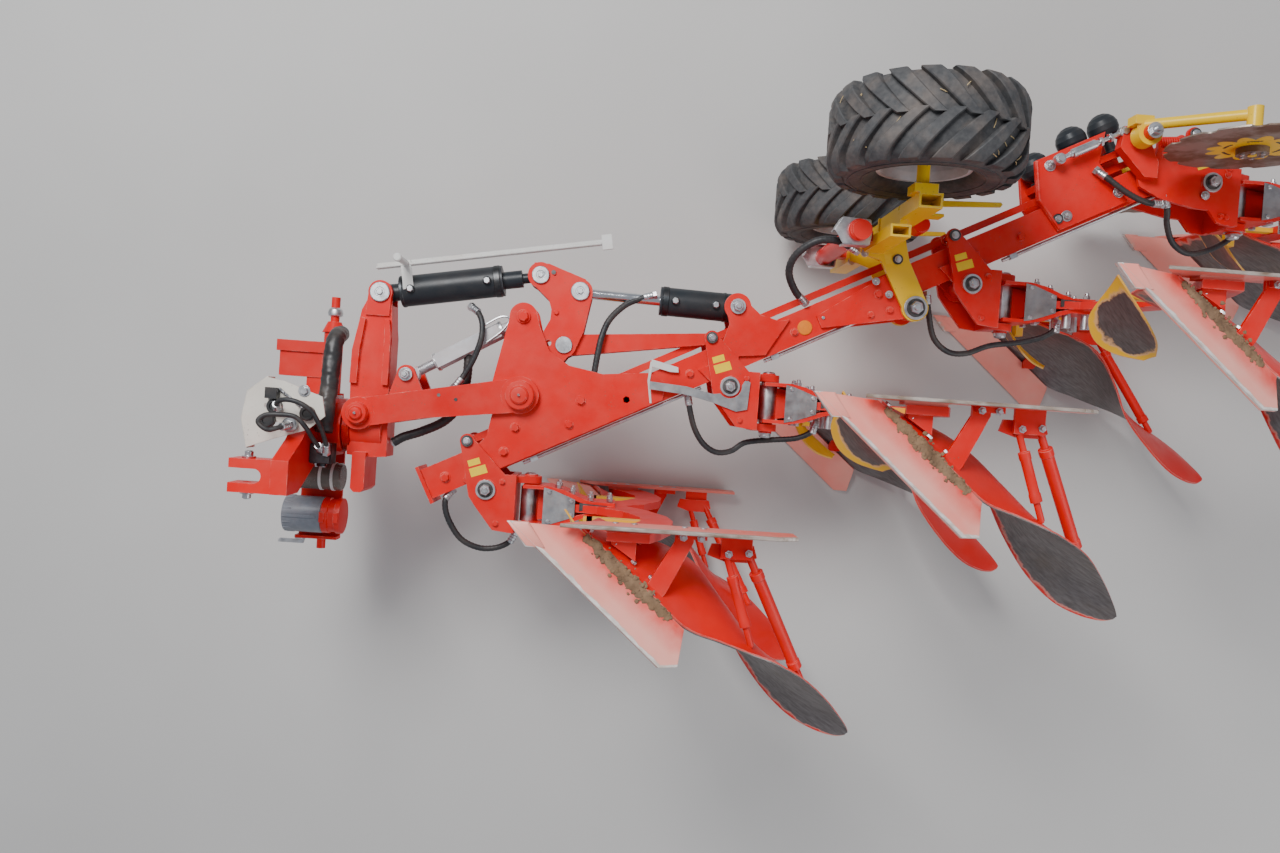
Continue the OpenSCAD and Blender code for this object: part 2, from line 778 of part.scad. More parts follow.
module wheel_frame() {
    w = wheel_pivot;
    tube_a = [1487, 1120];
    tube_b = [1424, 1034];
    color(yellow) {
        both_halves() {
            slab(turn_z, plate_t) {
                disc2d(w, 52);
                polygon([w + [-52, 0], w + [-146, 172], w + [-222, 196], w + [-222, 243],
                    w + [-165, 245], w + [-165, 335], w + [-75, 335], w + [-36, 181], w + [52, 10]]);
            }
            slab(turn_top, 5) disc2d(w, 34);
            translate([wheel_x, 0, wheel_z]) {
                translate([-38, tube_a.y + 26, -40]) cube([82, 30, 80]);
                along_y(0, tube_a.y + 50, wheel_y + 60, 0, axle_r);
            }
            translate([tube_a.x - 41, tube_a.y - 26, turn_top]) difference() {
                cube([82, 52, wheel_z + 40 - turn_top]);
                translate([8, 8, wheel_z - 60 - turn_top]) cube([66, 36, 120]);
            }
            translate([tube_b.x - 36, tube_b.y - 22, turn_top]) difference() {
                cube([72, 44, 360]);
                translate([8, 8, 250]) cube([56, 28, 120]);
            }
            translate([tube_a.x - 41, tube_b.y - 10, turn_top + 60]) cube([30, 80, 200]);
            translate([tube_a.x + 41, tube_a.y - 10, turn_top + 220]) cube([70, 10, 60]);
        }
        post(w, -turn_top, turn_top, pivot_r);
        post(w + [arm_x, arm_y], -turn_z, turn_z, steer_pin_r);
        translate([tube_a.x - 30, tube_a.y - 20, -turn_z]) cube([60, 40, 2 * turn_z]);
    }
}

module wheel_stops() {
    // Red stop cylinder with its guard, in front of the tubes
    color(red) {
        post([1320, 1052], -340, 340, 36);
        both_halves() translate([1350, 1034, 170]) cube([38, 36, 60]);
    }
}

// Closed ring of flat faces with the given profile of radius and width
module flat_ring(profile, n) {
    m = len(profile);
    polyhedron(
        points = [for (k = [0:n - 1]) for (p = profile)
            [p.x * cos(360 * k / n), p.x * sin(360 * k / n), p.y]],
        faces = [for (k = [0:n - 1]) for (j = [0:m - 1])
            [k * m + j, k * m + (j + 1) % m, (k + 1) % n * m + (j + 1) % m, (k + 1) % n * m + j]]);
}

tyre_steps = 36;
lug_count = 18;
module tyre(z) {
    r = tyre_r - lug_h;
    h = tyre_w / 2;
    bead_r = rim_r / cos(180 / tyre_steps);
    color("darkslategray") translate([wheel_x, wheel_y, z]) rotate([90, 0, 0]) {
        flat_ring([[bead_r, -h * 0.72], [rim_r + 60, -h * 0.89], [r - 25, -h * 0.86], [r, -h * 0.5],
            [r, h * 0.5], [r - 25, h * 0.86], [rim_r + 60, h * 0.89], [bead_r, h * 0.72]], tyre_steps);
        for (k = [0:lug_count - 1]) for (s = [-1, 1])
            rotate([0, 0, 90 + (k + (s > 0 ? 0.5 : 0)) * 360 / lug_count])
                translate([lug_root, 0, 0]) tread_bar(s, h);
    }
}

// One chevron bar of the tread, from the crown to the shoulder
lug_reach = 44;
lug_root = tyre_r - lug_h - 8;
lug_face = sqrt(tyre_r * tyre_r - lug_reach * lug_reach);
module tread_bar(s, h) {
    rotate([0, 90, 0]) linear_extrude(lug_face - lug_root)
        polygon([[0, -12], [0, 12], [-s * h * 0.62, lug_reach - 6], [-s * h * 0.97, lug_reach],
            [-s * h * 0.97, 10], [-s * h * 0.62, 10]]);
}

module rim(z) {
    color(steel) translate([wheel_x, wheel_y, z]) rotate([90, 0, 0]) {
        h = tyre_w * 0.36;
        rotate_extrude($fn = 72) polygon([[rim_r - 0.3, -h], [rim_r - 0.3, h], [rim_r - 14, h],
            [rim_r - 22, h - 30], [rim_r - 22, -10], [axle_r + 30, 10], [axle_r + 30, 66],
            [axle_r + fit, 66], [axle_r + fit, -60], [axle_r + 30, -60],
            [axle_r + 30, -20], [rim_r - 22, -30], [rim_r - 22, -h + 30], [rim_r - 14, -h]]);
    }
}

/* Coulters on the last leg */

post_at = [-326, 133];
arm_root = [-362, 164, 200];
arm_tip = [-46, 166, disc_z];
disc_at = [-60, 45, disc_z];
module coulter_carrier() {
    color(red) at_leg(leg_count - 1) both_halves() {
        slab(turn_top, 44) polygon([[-392, 96], [-380, 178], [-300, 178], [-240, 50],
            [-240, -10], [-290, -10]]);
        post(post_at, turn_top + 44, arm_root.z + 60, 28);
    }
}

module coulter_arms() {
    color(yellow) at_leg(leg_count - 1) both_halves() {
        difference() {
            union() {
                post(post_at, arm_root.z - 30, arm_root.z + 30, 46);
                translate([post_at.x - 60, post_at.y + 30, arm_root.z - 30]) cube([70, 34, 60]);
                bar(arm_root, arm_tip, 20);
                along_y(disc_at.x, disc_at.y + 18, arm_tip.y + 24, disc_z, 26);
            }
            post(post_at, 0, 400, 28 + fit);
        }
        along_y(disc_at.x, disc_at.y - 30, disc_at.y + 19, disc_z, 14);
    }
}

module coulter_disc(side) {
    notches = 12;
    color("saddlebrown") at_leg(leg_count - 1)
        translate([disc_at.x, disc_at.y, side * disc_z]) rotate([90, 0, 0]) difference() {
            union() {
                translate([0, 0, -disc_t / 2]) cylinder(h = disc_t, r = disc_r, $fn = 96);
                translate([0, 0, -14]) cylinder(h = 40, r = 52);
            }
            translate([0, 0, -40]) cylinder(h = 100, r = 14 + fit);
            for (k = [0:notches - 1]) rotate([0, 0, k * 360 / notches])
                translate([disc_r + 6, 0, -20]) cylinder(h = 40, r = 24);
        }
}

/* Legs and bodies */

flange_x = 92;
module bracket(i) {
    last = i == leg_count - 1;
    color(red) at_leg(i) difference() {
        union() {
            both_halves() {
                slab(turn_z, plate_t) {
                    disc2d([arm_x, arm_y], steer_eye_r);
                    polygon([[-110, 180], [-64, -30], [-36, -68], [34, -154], [100, -161], [100, 62],
                        [70, 62], [-40, 175], [-58, 190]]);
                    if (last) polygon([[-300, 40], [-230, 77], [-106, 88], [0, 60], [100, 62], [100, -163],
                        [46, -158], [50, -123], [30, -109], [-71, -103], [-199, -76], [-284, -35]]);
                }
                slab(turn_top, 5) circle(40);
                slab(turn_top, 5) disc2d([arm_x, arm_y], 18);
            }
            translate([flange_x, -161, -turn_top]) cube([23, 223, 2 * turn_top]);
            for (y = [30, -164]) clevis_ear(y);
            along_y(trip_x, -172, 64, 0, trip_r);
            post([0, 0], -turn_top, turn_top, pivot_r);
            post([arm_x, arm_y], -turn_z, turn_z, steer_pin_r);
        }
    }
}

// Clevis ear on the flange, with its round end round the trip pin
module clevis_ear(y) {
    translate([0, y, 0]) rotate([90, 0, 0]) translate([0, 0, -28]) linear_extrude(28)
        intersection() {
            link2d([trip_x, 0], [100, 0], 42, 60);
            translate([flange_x + 5, -turn_top]) square([trip_x, 2 * turn_top]);
        }
}

// Plan of one curved side plate of a leg, on the land side
side_plate = [[140, 27], [240, 27], [300, 16], [365, -10], [410, -23], [500, -23],
    [500, -37], [404, -37], [357, -26], [294, 2], [232, 13], [140, 13]];
leg_outline = [[330, 70], [430, 100], [530, 200], [590, 340], [590, 460], [548, sole(260)],
    [496, sole(140)], [474, sole(60)], [610, sole(60)], [650, sole(160)], [690, sole(300)],
    [705, 420], [690, 280], [620, 110], [540, 0]];

module leg(i) {
    mirrored = [for (k = [len(leg_outline) - 2:-1:0]) [leg_outline[k].x, -leg_outline[k].y]];
    color(red) at_leg(i) difference() {
        union() {
            translate([0, leg_y, 0]) for (s = [0, 1]) mirror([0, s, 0]) translate([0, -leg_y, 0])
                slab(-80, 160) polygon(side_plate);
            translate([0, leg_y + leg_t / 2, 0]) rotate([90, 0, 0]) linear_extrude(leg_t)
                polygon(concat(leg_outline, mirrored));
            along_y(trip_x, leg_y - 65, leg_y + 65, 0, trip_r + 8);
            both_halves() slab(56, 8) polygon([[258, 14], [345, -18], [345, leg_y * 2 + 18],
                [258, leg_y * 2 - 14]]);
            slab(-14, 28) polygon([[170, 14], [360, -20], [360, leg_y * 2 + 20],
                [170, leg_y * 2 - 14]]);
        }
        along_y(trip_x, -200, 100, 0, trip_r + fit);
    }
}

module boards(i) {
    color(red) at_leg(i) both_halves() {
        shell(board_grid(board_rows, 0, board_steps), board_grid(board_rows, board_t, board_steps));
        // Lugs from the board's back to the leg's furrow side
        slab(sole(250), 40) polygon([[525, -98], [590, -140], [590, leg_y - leg_t / 2], [525, leg_y - leg_t / 2]]);
        slab(sole(125), 40) polygon([[490, -104], [570, -172], [570, leg_y - leg_t / 2], [490, leg_y - leg_t / 2]]);
        // Brace to the landside and the two stays of the wing
        hull() {
            translate([690, landside_y - landside_t - 30.3, sole(90)]) cube([60, 30, 14]);
            translate([600, -250, sole(90)]) cube([50, 30, 14]);
        }
        translate([840, -106, sole(118)]) cube([100, 106 + landside_y - landside_t, 14]);
        bar([860, -96, sole(120)], [968, -404, sole(125)], 11);
        bar([880, -150, sole(120)], [940, -330, sole(123)], 17);
        bar([926, -80, sole(122)], [1196, -596, sole(270)], 13);
        bar([966, -160, sole(146)], [1160, -530, sole(252)], 21);
    }
}

share_face = [[178, -16, sole(0)], [660, -437, sole(0)], [720, -437, sole(18)], [737, -328, sole(59)],
    [385, -31, sole(59)]];
share_normal = unit([0.271, 0.31, 0.912]);
// Chisel point over the share's tip
chisel = [[168, -17], [234, -17], [288, -92], [229, -92]];
chisel_t = 22;
module shares(i) {
    n = len(share_face);
    color("indianred") at_leg(i) both_halves() {
        polyhedron(
            points = concat(share_face, [for (p = share_face) p - share_t * share_normal]),
            faces = concat([for (k = [1:n - 2]) [0, k + 1, k]], [for (k = [1:n - 2]) [n, n + k, n + k + 1]],
                [for (k = [0:n - 1]) [k, (k + 1) % n, n + k]],
                [for (k = [0:n - 1]) [(k + 1) % n, n + (k + 1) % n, n + k]]));
        slab(sole(seam) - chisel_t, chisel_t) polygon(chisel);
    }
}

module landsides(i) {
    color("indianred") at_leg(i) both_halves() {
        translate([0, landside_y, 0]) rotate([90, 0, 0]) linear_extrude(landside_t)
            polygon([[430, mid_height - landside_h], [landside_x - 60, mid_height - landside_h],
                [landside_x, mid_height - 30], [landside_x, mid_height], [330, mid_height]]);
        translate([470, leg_y + leg_t / 2, mid_height - landside_h + 6])
            cube([140, landside_y - landside_t - leg_y - leg_t / 2, 56]);
    }
}

module skimmers(i) {
    color(yellow) at_leg(i) both_halves() {
        shell(board_grid(skimmer_rows, 0, 4), board_grid(skimmer_rows, 7, 4));
        translate([400, leg_y - 10, sole(480)]) cube([190, 20, 40]);
        translate([380, -140, sole(480)]) cube([40, 140 + leg_y + 10, 40]);
    }
}

/* Assembly */

place() {
    headstock();
    cross_shaft();
    hose_rack();
    tool_tubes();
    valve_block();
    hose_sleeve();
    turnover_yoke();
    main_beam();
    front_plates();
    carrier_arms();
    furrow_cylinder();
    beam_plates();
    rear_saddle();
    accumulators();
    steel_pipe();
    width_scale();
    crank_plates();
    drag_cylinder();
    scale_bar();
    control_link();
    width_barrel();
    width_rod();
    steering_rod();
    width_pointer();
    wheel_frame();
    wheel_stops();
    tyre(wheel_z);  // upper_tyre
    rim(wheel_z);  // upper_rim
    tyre(-wheel_z);  // lower_tyre
    rim(-wheel_z);  // lower_rim
    coulter_carrier();
    coulter_arms();
    coulter_disc(1);  // upper_disc
    coulter_disc(-1);  // lower_disc
    for (i = [0:leg_count - 1]) {
        bracket(i);
        leg(i);
        boards(i);
        shares(i);
        landsides(i);
        skimmers(i);
    }
}
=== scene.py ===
# %% [markdown]
# # A reversible plough, finished piece by piece
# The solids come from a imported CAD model, and this lesson gives them their looks: paint, worn
# steel, bolts, hoses, tyres and soil. It starts by loading the solids as a fixed frame, and
# everything that is made later rides on one of the frame's bodies.

# %% Load the frame
import json
import math
import random

import bmesh
import bpy
from mathutils import Matrix, Vector, noise
from mathutils.bvhtree import BVHTree
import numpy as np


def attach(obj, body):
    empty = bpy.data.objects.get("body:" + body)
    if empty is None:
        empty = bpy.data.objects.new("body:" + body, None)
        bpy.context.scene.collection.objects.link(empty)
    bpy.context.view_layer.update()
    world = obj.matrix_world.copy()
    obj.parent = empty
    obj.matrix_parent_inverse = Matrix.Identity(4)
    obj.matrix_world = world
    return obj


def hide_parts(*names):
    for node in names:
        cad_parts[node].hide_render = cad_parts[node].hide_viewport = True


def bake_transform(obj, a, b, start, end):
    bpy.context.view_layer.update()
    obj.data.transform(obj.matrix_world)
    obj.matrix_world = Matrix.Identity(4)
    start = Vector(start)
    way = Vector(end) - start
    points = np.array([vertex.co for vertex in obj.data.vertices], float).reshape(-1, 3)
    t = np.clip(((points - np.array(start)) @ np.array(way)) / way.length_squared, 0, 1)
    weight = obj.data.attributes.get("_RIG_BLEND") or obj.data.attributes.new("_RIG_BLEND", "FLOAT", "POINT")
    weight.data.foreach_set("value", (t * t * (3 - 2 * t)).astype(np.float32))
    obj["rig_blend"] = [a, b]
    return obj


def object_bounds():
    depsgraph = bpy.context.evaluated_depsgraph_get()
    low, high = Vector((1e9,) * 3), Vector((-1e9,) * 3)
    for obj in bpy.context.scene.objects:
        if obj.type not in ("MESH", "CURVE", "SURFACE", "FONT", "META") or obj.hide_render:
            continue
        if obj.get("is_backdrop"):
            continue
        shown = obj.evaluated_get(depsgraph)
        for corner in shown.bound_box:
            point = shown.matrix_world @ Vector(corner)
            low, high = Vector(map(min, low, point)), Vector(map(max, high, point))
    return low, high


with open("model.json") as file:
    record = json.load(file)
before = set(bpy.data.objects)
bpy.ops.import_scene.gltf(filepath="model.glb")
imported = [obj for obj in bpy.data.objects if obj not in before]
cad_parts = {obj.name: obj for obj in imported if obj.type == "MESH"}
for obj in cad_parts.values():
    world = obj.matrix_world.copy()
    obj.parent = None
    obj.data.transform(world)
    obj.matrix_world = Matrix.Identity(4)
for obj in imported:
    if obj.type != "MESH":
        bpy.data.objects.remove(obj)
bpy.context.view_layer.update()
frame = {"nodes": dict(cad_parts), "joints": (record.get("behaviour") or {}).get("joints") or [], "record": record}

# %% [markdown]
# ## Places
# The CAD drawing has its origin at the first leg's pivot, on the middle plane of the beam, and
# counts millimetres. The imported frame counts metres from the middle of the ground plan. Joints
# are the safest marks to tie the two together, because a joint is where two pieces really meet.
# So pivots, the beam's angle and the spacing of the legs are all measured from the frame.

# %% Pivots and the beam's line
MM = 0.001
PIVOT = {j["name"]: Vector(j["pos_m"]) for j in frame["joints"] if j.get("pos_m")}
ORIGIN = PIVOT["leg_1_pivot"]
MID_HEIGHT = ORIGIN.z / MM


def drawn(name):
    """A joint's place in the drawing, in millimetres."""
    return (PIVOT[name] - ORIGIN) / MM


LEGS = [drawn(f"leg_{i}_pivot") for i in range(1, 5)]
BEAM_U = (LEGS[3] - LEGS[0]).normalized()
BEAM_N = Vector((-BEAM_U.y, BEAM_U.x, 0))
WHEEL = drawn("upper_wheel_spin")


def on_beam(along, across, z=0.0):
    p = BEAM_U * along + BEAM_N * across
    return Vector((p.x, p.y, z))


def on_leg(leg, x, y, z=0.0):
    return LEGS[leg] + Vector((x, y, z))


def sole(height):
    """Height over the middle plane of a point that high over the sole of an upper body."""
    return MID_HEIGHT - height


print("beam at", round(math.degrees(math.atan2(BEAM_U.y, BEAM_U.x)), 2), "degrees, legs",
      round((LEGS[1] - LEGS[0]).length), "mm apart")

# %% [markdown]
# ## Camera
# The photograph was taken from the air, almost straight down. The camera's place and its small
# tilts were found by fitting the pivots' places to the picture. A camera is made first, so that
# every later piece can be judged from the same point of view.

# %% Camera over the plough
EYE = Vector((469, 356, 3756))
TILTS = (1.15, 1.66, -3.95)
LENS = 26.72

camera = bpy.data.objects.new("camera", bpy.data.cameras.new("camera"))
camera.data.lens = LENS
turn = Matrix.Identity(3)
for degrees, axis in zip(TILTS, "XYZ"):
    turn = Matrix.Rotation(math.radians(degrees), 3, axis) @ turn
camera.matrix_world = Matrix.Translation(ORIGIN + EYE * MM) @ turn.transposed().to_4x4()
bpy.context.scene.collection.objects.link(camera)
bpy.context.scene.camera = camera
print("camera at", [round(v, 3) for v in camera.location])

# %% [markdown]
# ## Floor and light
# A pale floor keeps the outline easy to read. One large soft lamp stands high on the hitch side,
# a weaker one fills the far side, and a pale world lights what both miss.

# %% Floor, lamps and world
FLOOR_HALF = 14
corners = [(FLOOR_HALF * x, FLOOR_HALF * y, 0) for x, y in ((-1, -1), (1, -1), (1, 1), (-1, 1))]
floor_mesh = bpy.data.meshes.new("floor")
floor_mesh.from_pydata(corners, [], [(0, 1, 2, 3)])
floor = bpy.data.objects.new("floor", floor_mesh)
bpy.context.scene.collection.objects.link(floor)
floor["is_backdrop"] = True


def lamp(name, place, aim, size, power):
    light = bpy.data.lights.new(name, "AREA")
    light.size = size
    light.energy = power
    holder = bpy.data.objects.new(name, light)
    holder.location = place
    holder.rotation_euler = (Vector(aim) - Vector(place)).to_track_quat("-Z", "Y").to_euler()
    bpy.context.scene.collection.objects.link(holder)


lamp("sky_lamp", (-3.2, 3.4, 6.2), (0, 0, 0.8), 2.6, 500)
lamp("fill_lamp", (4.5, -3.0, 5.0), (0, 0, 0.6), 4.0, 150)
world = bpy.data.worlds.new("sky")
bpy.context.scene.world = world
world.use_nodes = True
sky = world.node_tree.nodes["Background"].inputs
sky["Color"].default_value = (0.86, 0.90, 1.0, 1)
sky["Strength"].default_value = 0.42
print("lamps:", ", ".join(light.name for light in bpy.data.lights))

# %% [markdown]
# ## How a finish is made
# Every finish is a graph of nodes on one Principled shader. The helpers below add a node, wire
# it and return its output, so a finish reads like a list of layers: colour, dust, drops of mud,
# worn edges. All patterns are placed by the object's own coordinates, so that they stay on the
# metal when a body turns.

# %% Node helpers
def add(tree, kind, inputs, **settings):
    made = tree.nodes.new("ShaderNode" + kind)
    for key, value in settings.items():
        setattr(made, key, value)
    for key, value in inputs.items():
        if isinstance(value, bpy.types.NodeSocket):
            tree.links.new(value, made.inputs[key])
        else:
            made.inputs[key].default_value = value
    return made


def cloud(tree, scale, detail=4.0, stretch=(1, 1, 1)):
    """Soft random patches; scale counts patches to the metre."""
    place = tree.nodes.new("ShaderNodeTexCoord").outputs["Object"]
    moved = add(tree, "Mapping", {"Vector": place, "Scale": stretch}).outputs[0]
    return add(tree, "TexNoise", {"Vector": moved, "Scale": scale, "Detail": detail,
                                  "Roughness": 0.6}).outputs["Fac"]


def between(tree, value, low, high, to=(0.0, 1.0)):
    return add(tree, "MapRange", {"Value": value, "From Min": low, "From Max": high,
                                  "To Min": to[0], "To Max": to[1]}).outputs[0]


def patches(tree, scale, detail, low, high, to=(0.0, 1.0)):
    return between(tree, cloud(tree, scale, detail), low, high, to)


def times(tree, a, b):
    return add(tree, "Math", {0: a, 1: b}, operation="MULTIPLY", use_clamp=True).outputs[0]


def plus(tree, a, b):
    return add(tree, "Math", {0: a, 1: b}, operation="ADD", use_clamp=True).outputs[0]


def mix(tree, share, a, b):
    """Colour a covered by colour b where share is 1."""
    full = [(*c, 1) if isinstance(c, tuple) else c for c in (a, b)]
    return add(tree, "Mix", {0: share, 6: full[0], 7: full[1]}, data_type="RGBA").outputs[2]


# %% Masks, and a shader to wire
def lying(tree):
    """1 on faces that lie flat, either way up, and 0 on upright ones."""
    normal = tree.nodes.new("ShaderNodeTexCoord").outputs["Normal"]
    z = add(tree, "SeparateXYZ", {0: normal}).outputs[2]
    return between(tree, add(tree, "Math", {0: z}, operation="ABSOLUTE").outputs[0], 0.45, 0.95)


def edges(tree, width):
    """1 along sharp edges: there the rounded normal leaves the flat one."""
    soft = add(tree, "Bevel", {"Radius": width}, samples=4).outputs[0]
    flat = tree.nodes.new("ShaderNodeNewGeometry").outputs["Normal"]
    same = add(tree, "VectorMath", {0: soft, 1: flat}, operation="DOT_PRODUCT").outputs["Value"]
    return between(tree, same, 0.995, 0.86)


def relief(tree, height, strength, distance, rounding=0.0018):
    """Bumps on a surface whose sharp edges are slightly rounded."""
    inputs = {"Height": height, "Strength": strength, "Distance": distance}
    if rounding:
        inputs["Normal"] = add(tree, "Bevel", {"Radius": rounding}, samples=4).outputs[0]
    return add(tree, "Bump", inputs).outputs[0]


FINISHES = {}
SOCKETS = {"colour": "Base Color", "rough": "Roughness", "metal": "Metallic", "normal": "Normal"}


def new_finish(name):
    material = bpy.data.materials.new("finish_" + name)
    material.use_nodes = True
    FINISHES[name] = material
    return material.node_tree, material.node_tree.nodes["Principled BSDF"]


def wire(tree, shader, **sockets):
    for key, value in sockets.items():
        if isinstance(value, bpy.types.NodeSocket):
            tree.links.new(value, shader.inputs[SOCKETS[key]])
        else:
            shader.inputs[SOCKETS[key]].default_value = value


# %% [markdown]
# ## Paint
# The plough is sprayed in a glossy red, and what is set by hand is yellow. After some work the
# paint has a film of dust on faces that lie flat, small drops of mud, and edges rubbed pale.
# One function makes both colours, and the black and the white paint too.

# %% Painted finishes
SOIL = (0.17, 0.115, 0.072)
DUST = (0.50, 0.36, 0.27)
PAINTS = {
    "red_paint": dict(colour=(0.80, 0.006, 0.003), shade=(0.66, 0.004, 0.002), film=0.05, gloss=0.30,
                      rubbed=(0.80, 0.30, 0.24)),
    "yellow_paint": dict(colour=(0.95, 0.63, 0.012), shade=(0.88, 0.55, 0.010), film=0.05,
                         rubbed=(0.55, 0.50, 0.42)),
    "black_paint": dict(colour=(0.014, 0.018, 0.023), shade=(0.022, 0.027, 0.033), film=0.03, gloss=0.32,
                        rubbed=(0.16, 0.16, 0.17), drops=0.3),
    "white_paint": dict(colour=(0.72, 0.72, 0.70), shade=(0.62, 0.61, 0.58), film=0.15,
                        rubbed=(0.45, 0.44, 0.42), drops=0.4),
    "cream_sheet": dict(colour=(0.80, 0.76, 0.68), shade=(0.72, 0.68, 0.60), film=0.12,
                        rubbed=(0.5, 0.46, 0.4), drops=0.5)}


def paint(name, colour, shade, film, rubbed, gloss=0.26, drops=0.55):
    tree, shader = new_finish(name)
    base = mix(tree, patches(tree, 2.2, 4, 0.35, 0.7), colour, shade)
    dust = times(tree, lying(tree), patches(tree, 7, 8, 0.38, 0.72, (0.0, film * 2)))
    base = mix(tree, dust, base, DUST)
    place = tree.nodes.new("ShaderNodeTexCoord").outputs["Object"]
    spot = add(tree, "TexVoronoi", {"Vector": place, "Scale": 55.0, "Randomness": 1.0}).outputs[0]
    mud = times(tree, between(tree, spot, 0.17, 0.10), patches(tree, 4, 4, 0.47, 0.62, (0.0, drops)))
    base = mix(tree, mud, base, SOIL)
    worn = times(tree, edges(tree, 0.004), patches(tree, 28, 6, 0.45, 0.62))
    base = mix(tree, worn, base, rubbed)
    rough = plus(tree, patches(tree, 12, 6, 0.3, 0.8, (gloss, gloss + 0.14)), times(tree, dust, 0.5))
    wire(tree, shader, colour=base, rough=rough,
         normal=relief(tree, cloud(tree, 160, 2), 0.12, 0.0006))
    shader.inputs["Specular IOR Level"].default_value = 0.32


for name, looks in PAINTS.items():
    paint(name, **looks)
print("paints:", ", ".join(PAINTS))

# %% [markdown]
# ## Bare and plated metal
# Bolts and pins are zinc plated, the piston rod is hard chrome, and the discs and the faces
# that turn the soil are polished by it. Plated metal is a metallic shader whose roughness
# changes in patches. Polished steel also carries fine scratches along the flow of the soil.

# %% Metal finishes
METALS = {
    "zinc_steel": dict(colour=(0.66, 0.67, 0.69), shade=(0.48, 0.48, 0.49)),
    "dark_steel": dict(colour=(0.13, 0.13, 0.13), shade=(0.07, 0.065, 0.06), rough=0.45),
    "chrome_rod": dict(colour=(0.70, 0.71, 0.73), shade=(0.62, 0.63, 0.65), rough=0.14, dusty=0.05),
    "grey_steel": dict(colour=(0.42, 0.43, 0.44), shade=(0.33, 0.33, 0.34), rough=0.42),
    "black_iron": dict(colour=(0.05, 0.055, 0.06), shade=(0.08, 0.085, 0.09), rough=0.4, dusty=0.1)}


def metal(name, colour, shade, rough=0.34, dusty=0.25):
    tree, shader = new_finish(name)
    base = mix(tree, patches(tree, 30, 6, 0.4, 0.65), colour, shade)
    dust = times(tree, lying(tree), patches(tree, 16, 8, 0.5, 0.75, (0.0, dusty)))
    wire(tree, shader, colour=mix(tree, dust, base, DUST),
         metal=between(tree, dust, 0.0, 0.5, (1.0, 0.2)),
         rough=patches(tree, 22, 6, 0.3, 0.75, (rough - 0.08, rough + 0.16)),
         normal=relief(tree, cloud(tree, 240, 3), 0.2, 0.0004, 0.0009))


for name, looks in METALS.items():
    metal(name, **looks)

# Disc steel, which soil has stained
tree, shader = new_finish("soil_steel")
streak = cloud(tree, 9, 6)
wire(tree, shader, metal=between(tree, streak, 0.4, 0.6, (0.5, 0.1)),
     colour=mix(tree, between(tree, streak, 0.42, 0.6), (0.30, 0.25, 0.21), (0.14, 0.075, 0.04)),
     rough=between(tree, streak, 0.3, 0.7, (0.35, 0.6)),
     normal=relief(tree, cloud(tree, 60, 6), 0.3, 0.0008))
print("metals:", ", ".join(METALS), "and soil_steel")

# %% Faces that soil slides over
WORN_FACES = {
    "board_steel": dict(colour=(0.78, 0.008, 0.004), shade=(0.66, 0.005, 0.003),
                        bare=(0.24, 0.215, 0.21), bare_shade=(0.15, 0.13, 0.125)),
    "skimmer_steel": dict(colour=(0.93, 0.55, 0.015), shade=(0.84, 0.46, 0.012),
                          bare=(0.19, 0.16, 0.155), bare_shade=(0.12, 0.10, 0.095)),
    "worn_paint": dict(colour=(0.95, 0.30, 0.235), shade=(0.95, 0.44, 0.36),
                       bare=(0.86, 0.83, 0.79), bare_shade=(0.62, 0.54, 0.47), shine=0.15),
    "worn_bar": dict(colour=(0.80, 0.17, 0.13), shade=(0.82, 0.28, 0.22),
                     bare=(0.56, 0.50, 0.45), bare_shade=(0.24, 0.165, 0.115), shine=0.2)}


def worn_face(name, colour, shade, bare, bare_shade, shine=0.65):
    """Bare metal where the mesh's own "wear" is near 1, and fresh red paint where it is below 0."""
    tree, shader = new_finish(name)
    wear = add(tree, "Attribute", {}, attribute_name="wear").outputs["Fac"]
    ragged = plus(tree, wear, patches(tree, 20, 6, 0.3, 0.7, (-0.16, 0.16)))
    bright = between(tree, ragged, 0.46, 0.56)
    rim = times(tree, between(tree, ragged, 0.34, 0.46), between(tree, ragged, 0.62, 0.50))
    coat = mix(tree, patches(tree, 3, 4, 0.35, 0.7), colour, shade)
    dust = patches(tree, 9, 8, 0.42, 0.75, (0.0, 0.16))
    coat = mix(tree, times(tree, lying(tree), dust), coat, DUST)
    fresh = times(tree, between(tree, wear, -0.05, -0.65), patches(tree, 13, 7, 0.32, 0.62, (0.5, 1.0)))
    coat = mix(tree, fresh, coat, (0.82, 0.03, 0.018))
    worn = times(tree, edges(tree, 0.005), patches(tree, 25, 6, 0.3, 0.5))
    coat = mix(tree, worn, coat, (0.72, 0.30, 0.24))
    coat = mix(tree, times(tree, rim, 0.6), coat, (0.70, 0.42, 0.34))
    scratch = cloud(tree, 34, 5, (0.35, 1.0, 4.0))
    steel = mix(tree, between(tree, scratch, 0.35, 0.65), bare, bare_shade)
    steel = mix(tree, patches(tree, 5, 6, 0.55, 0.75, (0.0, 0.5)), steel, (0.20, 0.15, 0.11))
    wire(tree, shader, colour=mix(tree, bright, coat, steel),
         metal=between(tree, bright, 0.0, 1.0, (0.0, shine)),
         rough=patches(tree, 18, 5, 0.3, 0.7, (0.30, 0.46)),
         normal=relief(tree, scratch, 0.25, 0.0005))


for name, looks in WORN_FACES.items():
    worn_face(name, **looks)
print("worn faces:", ", ".join(WORN_FACES))
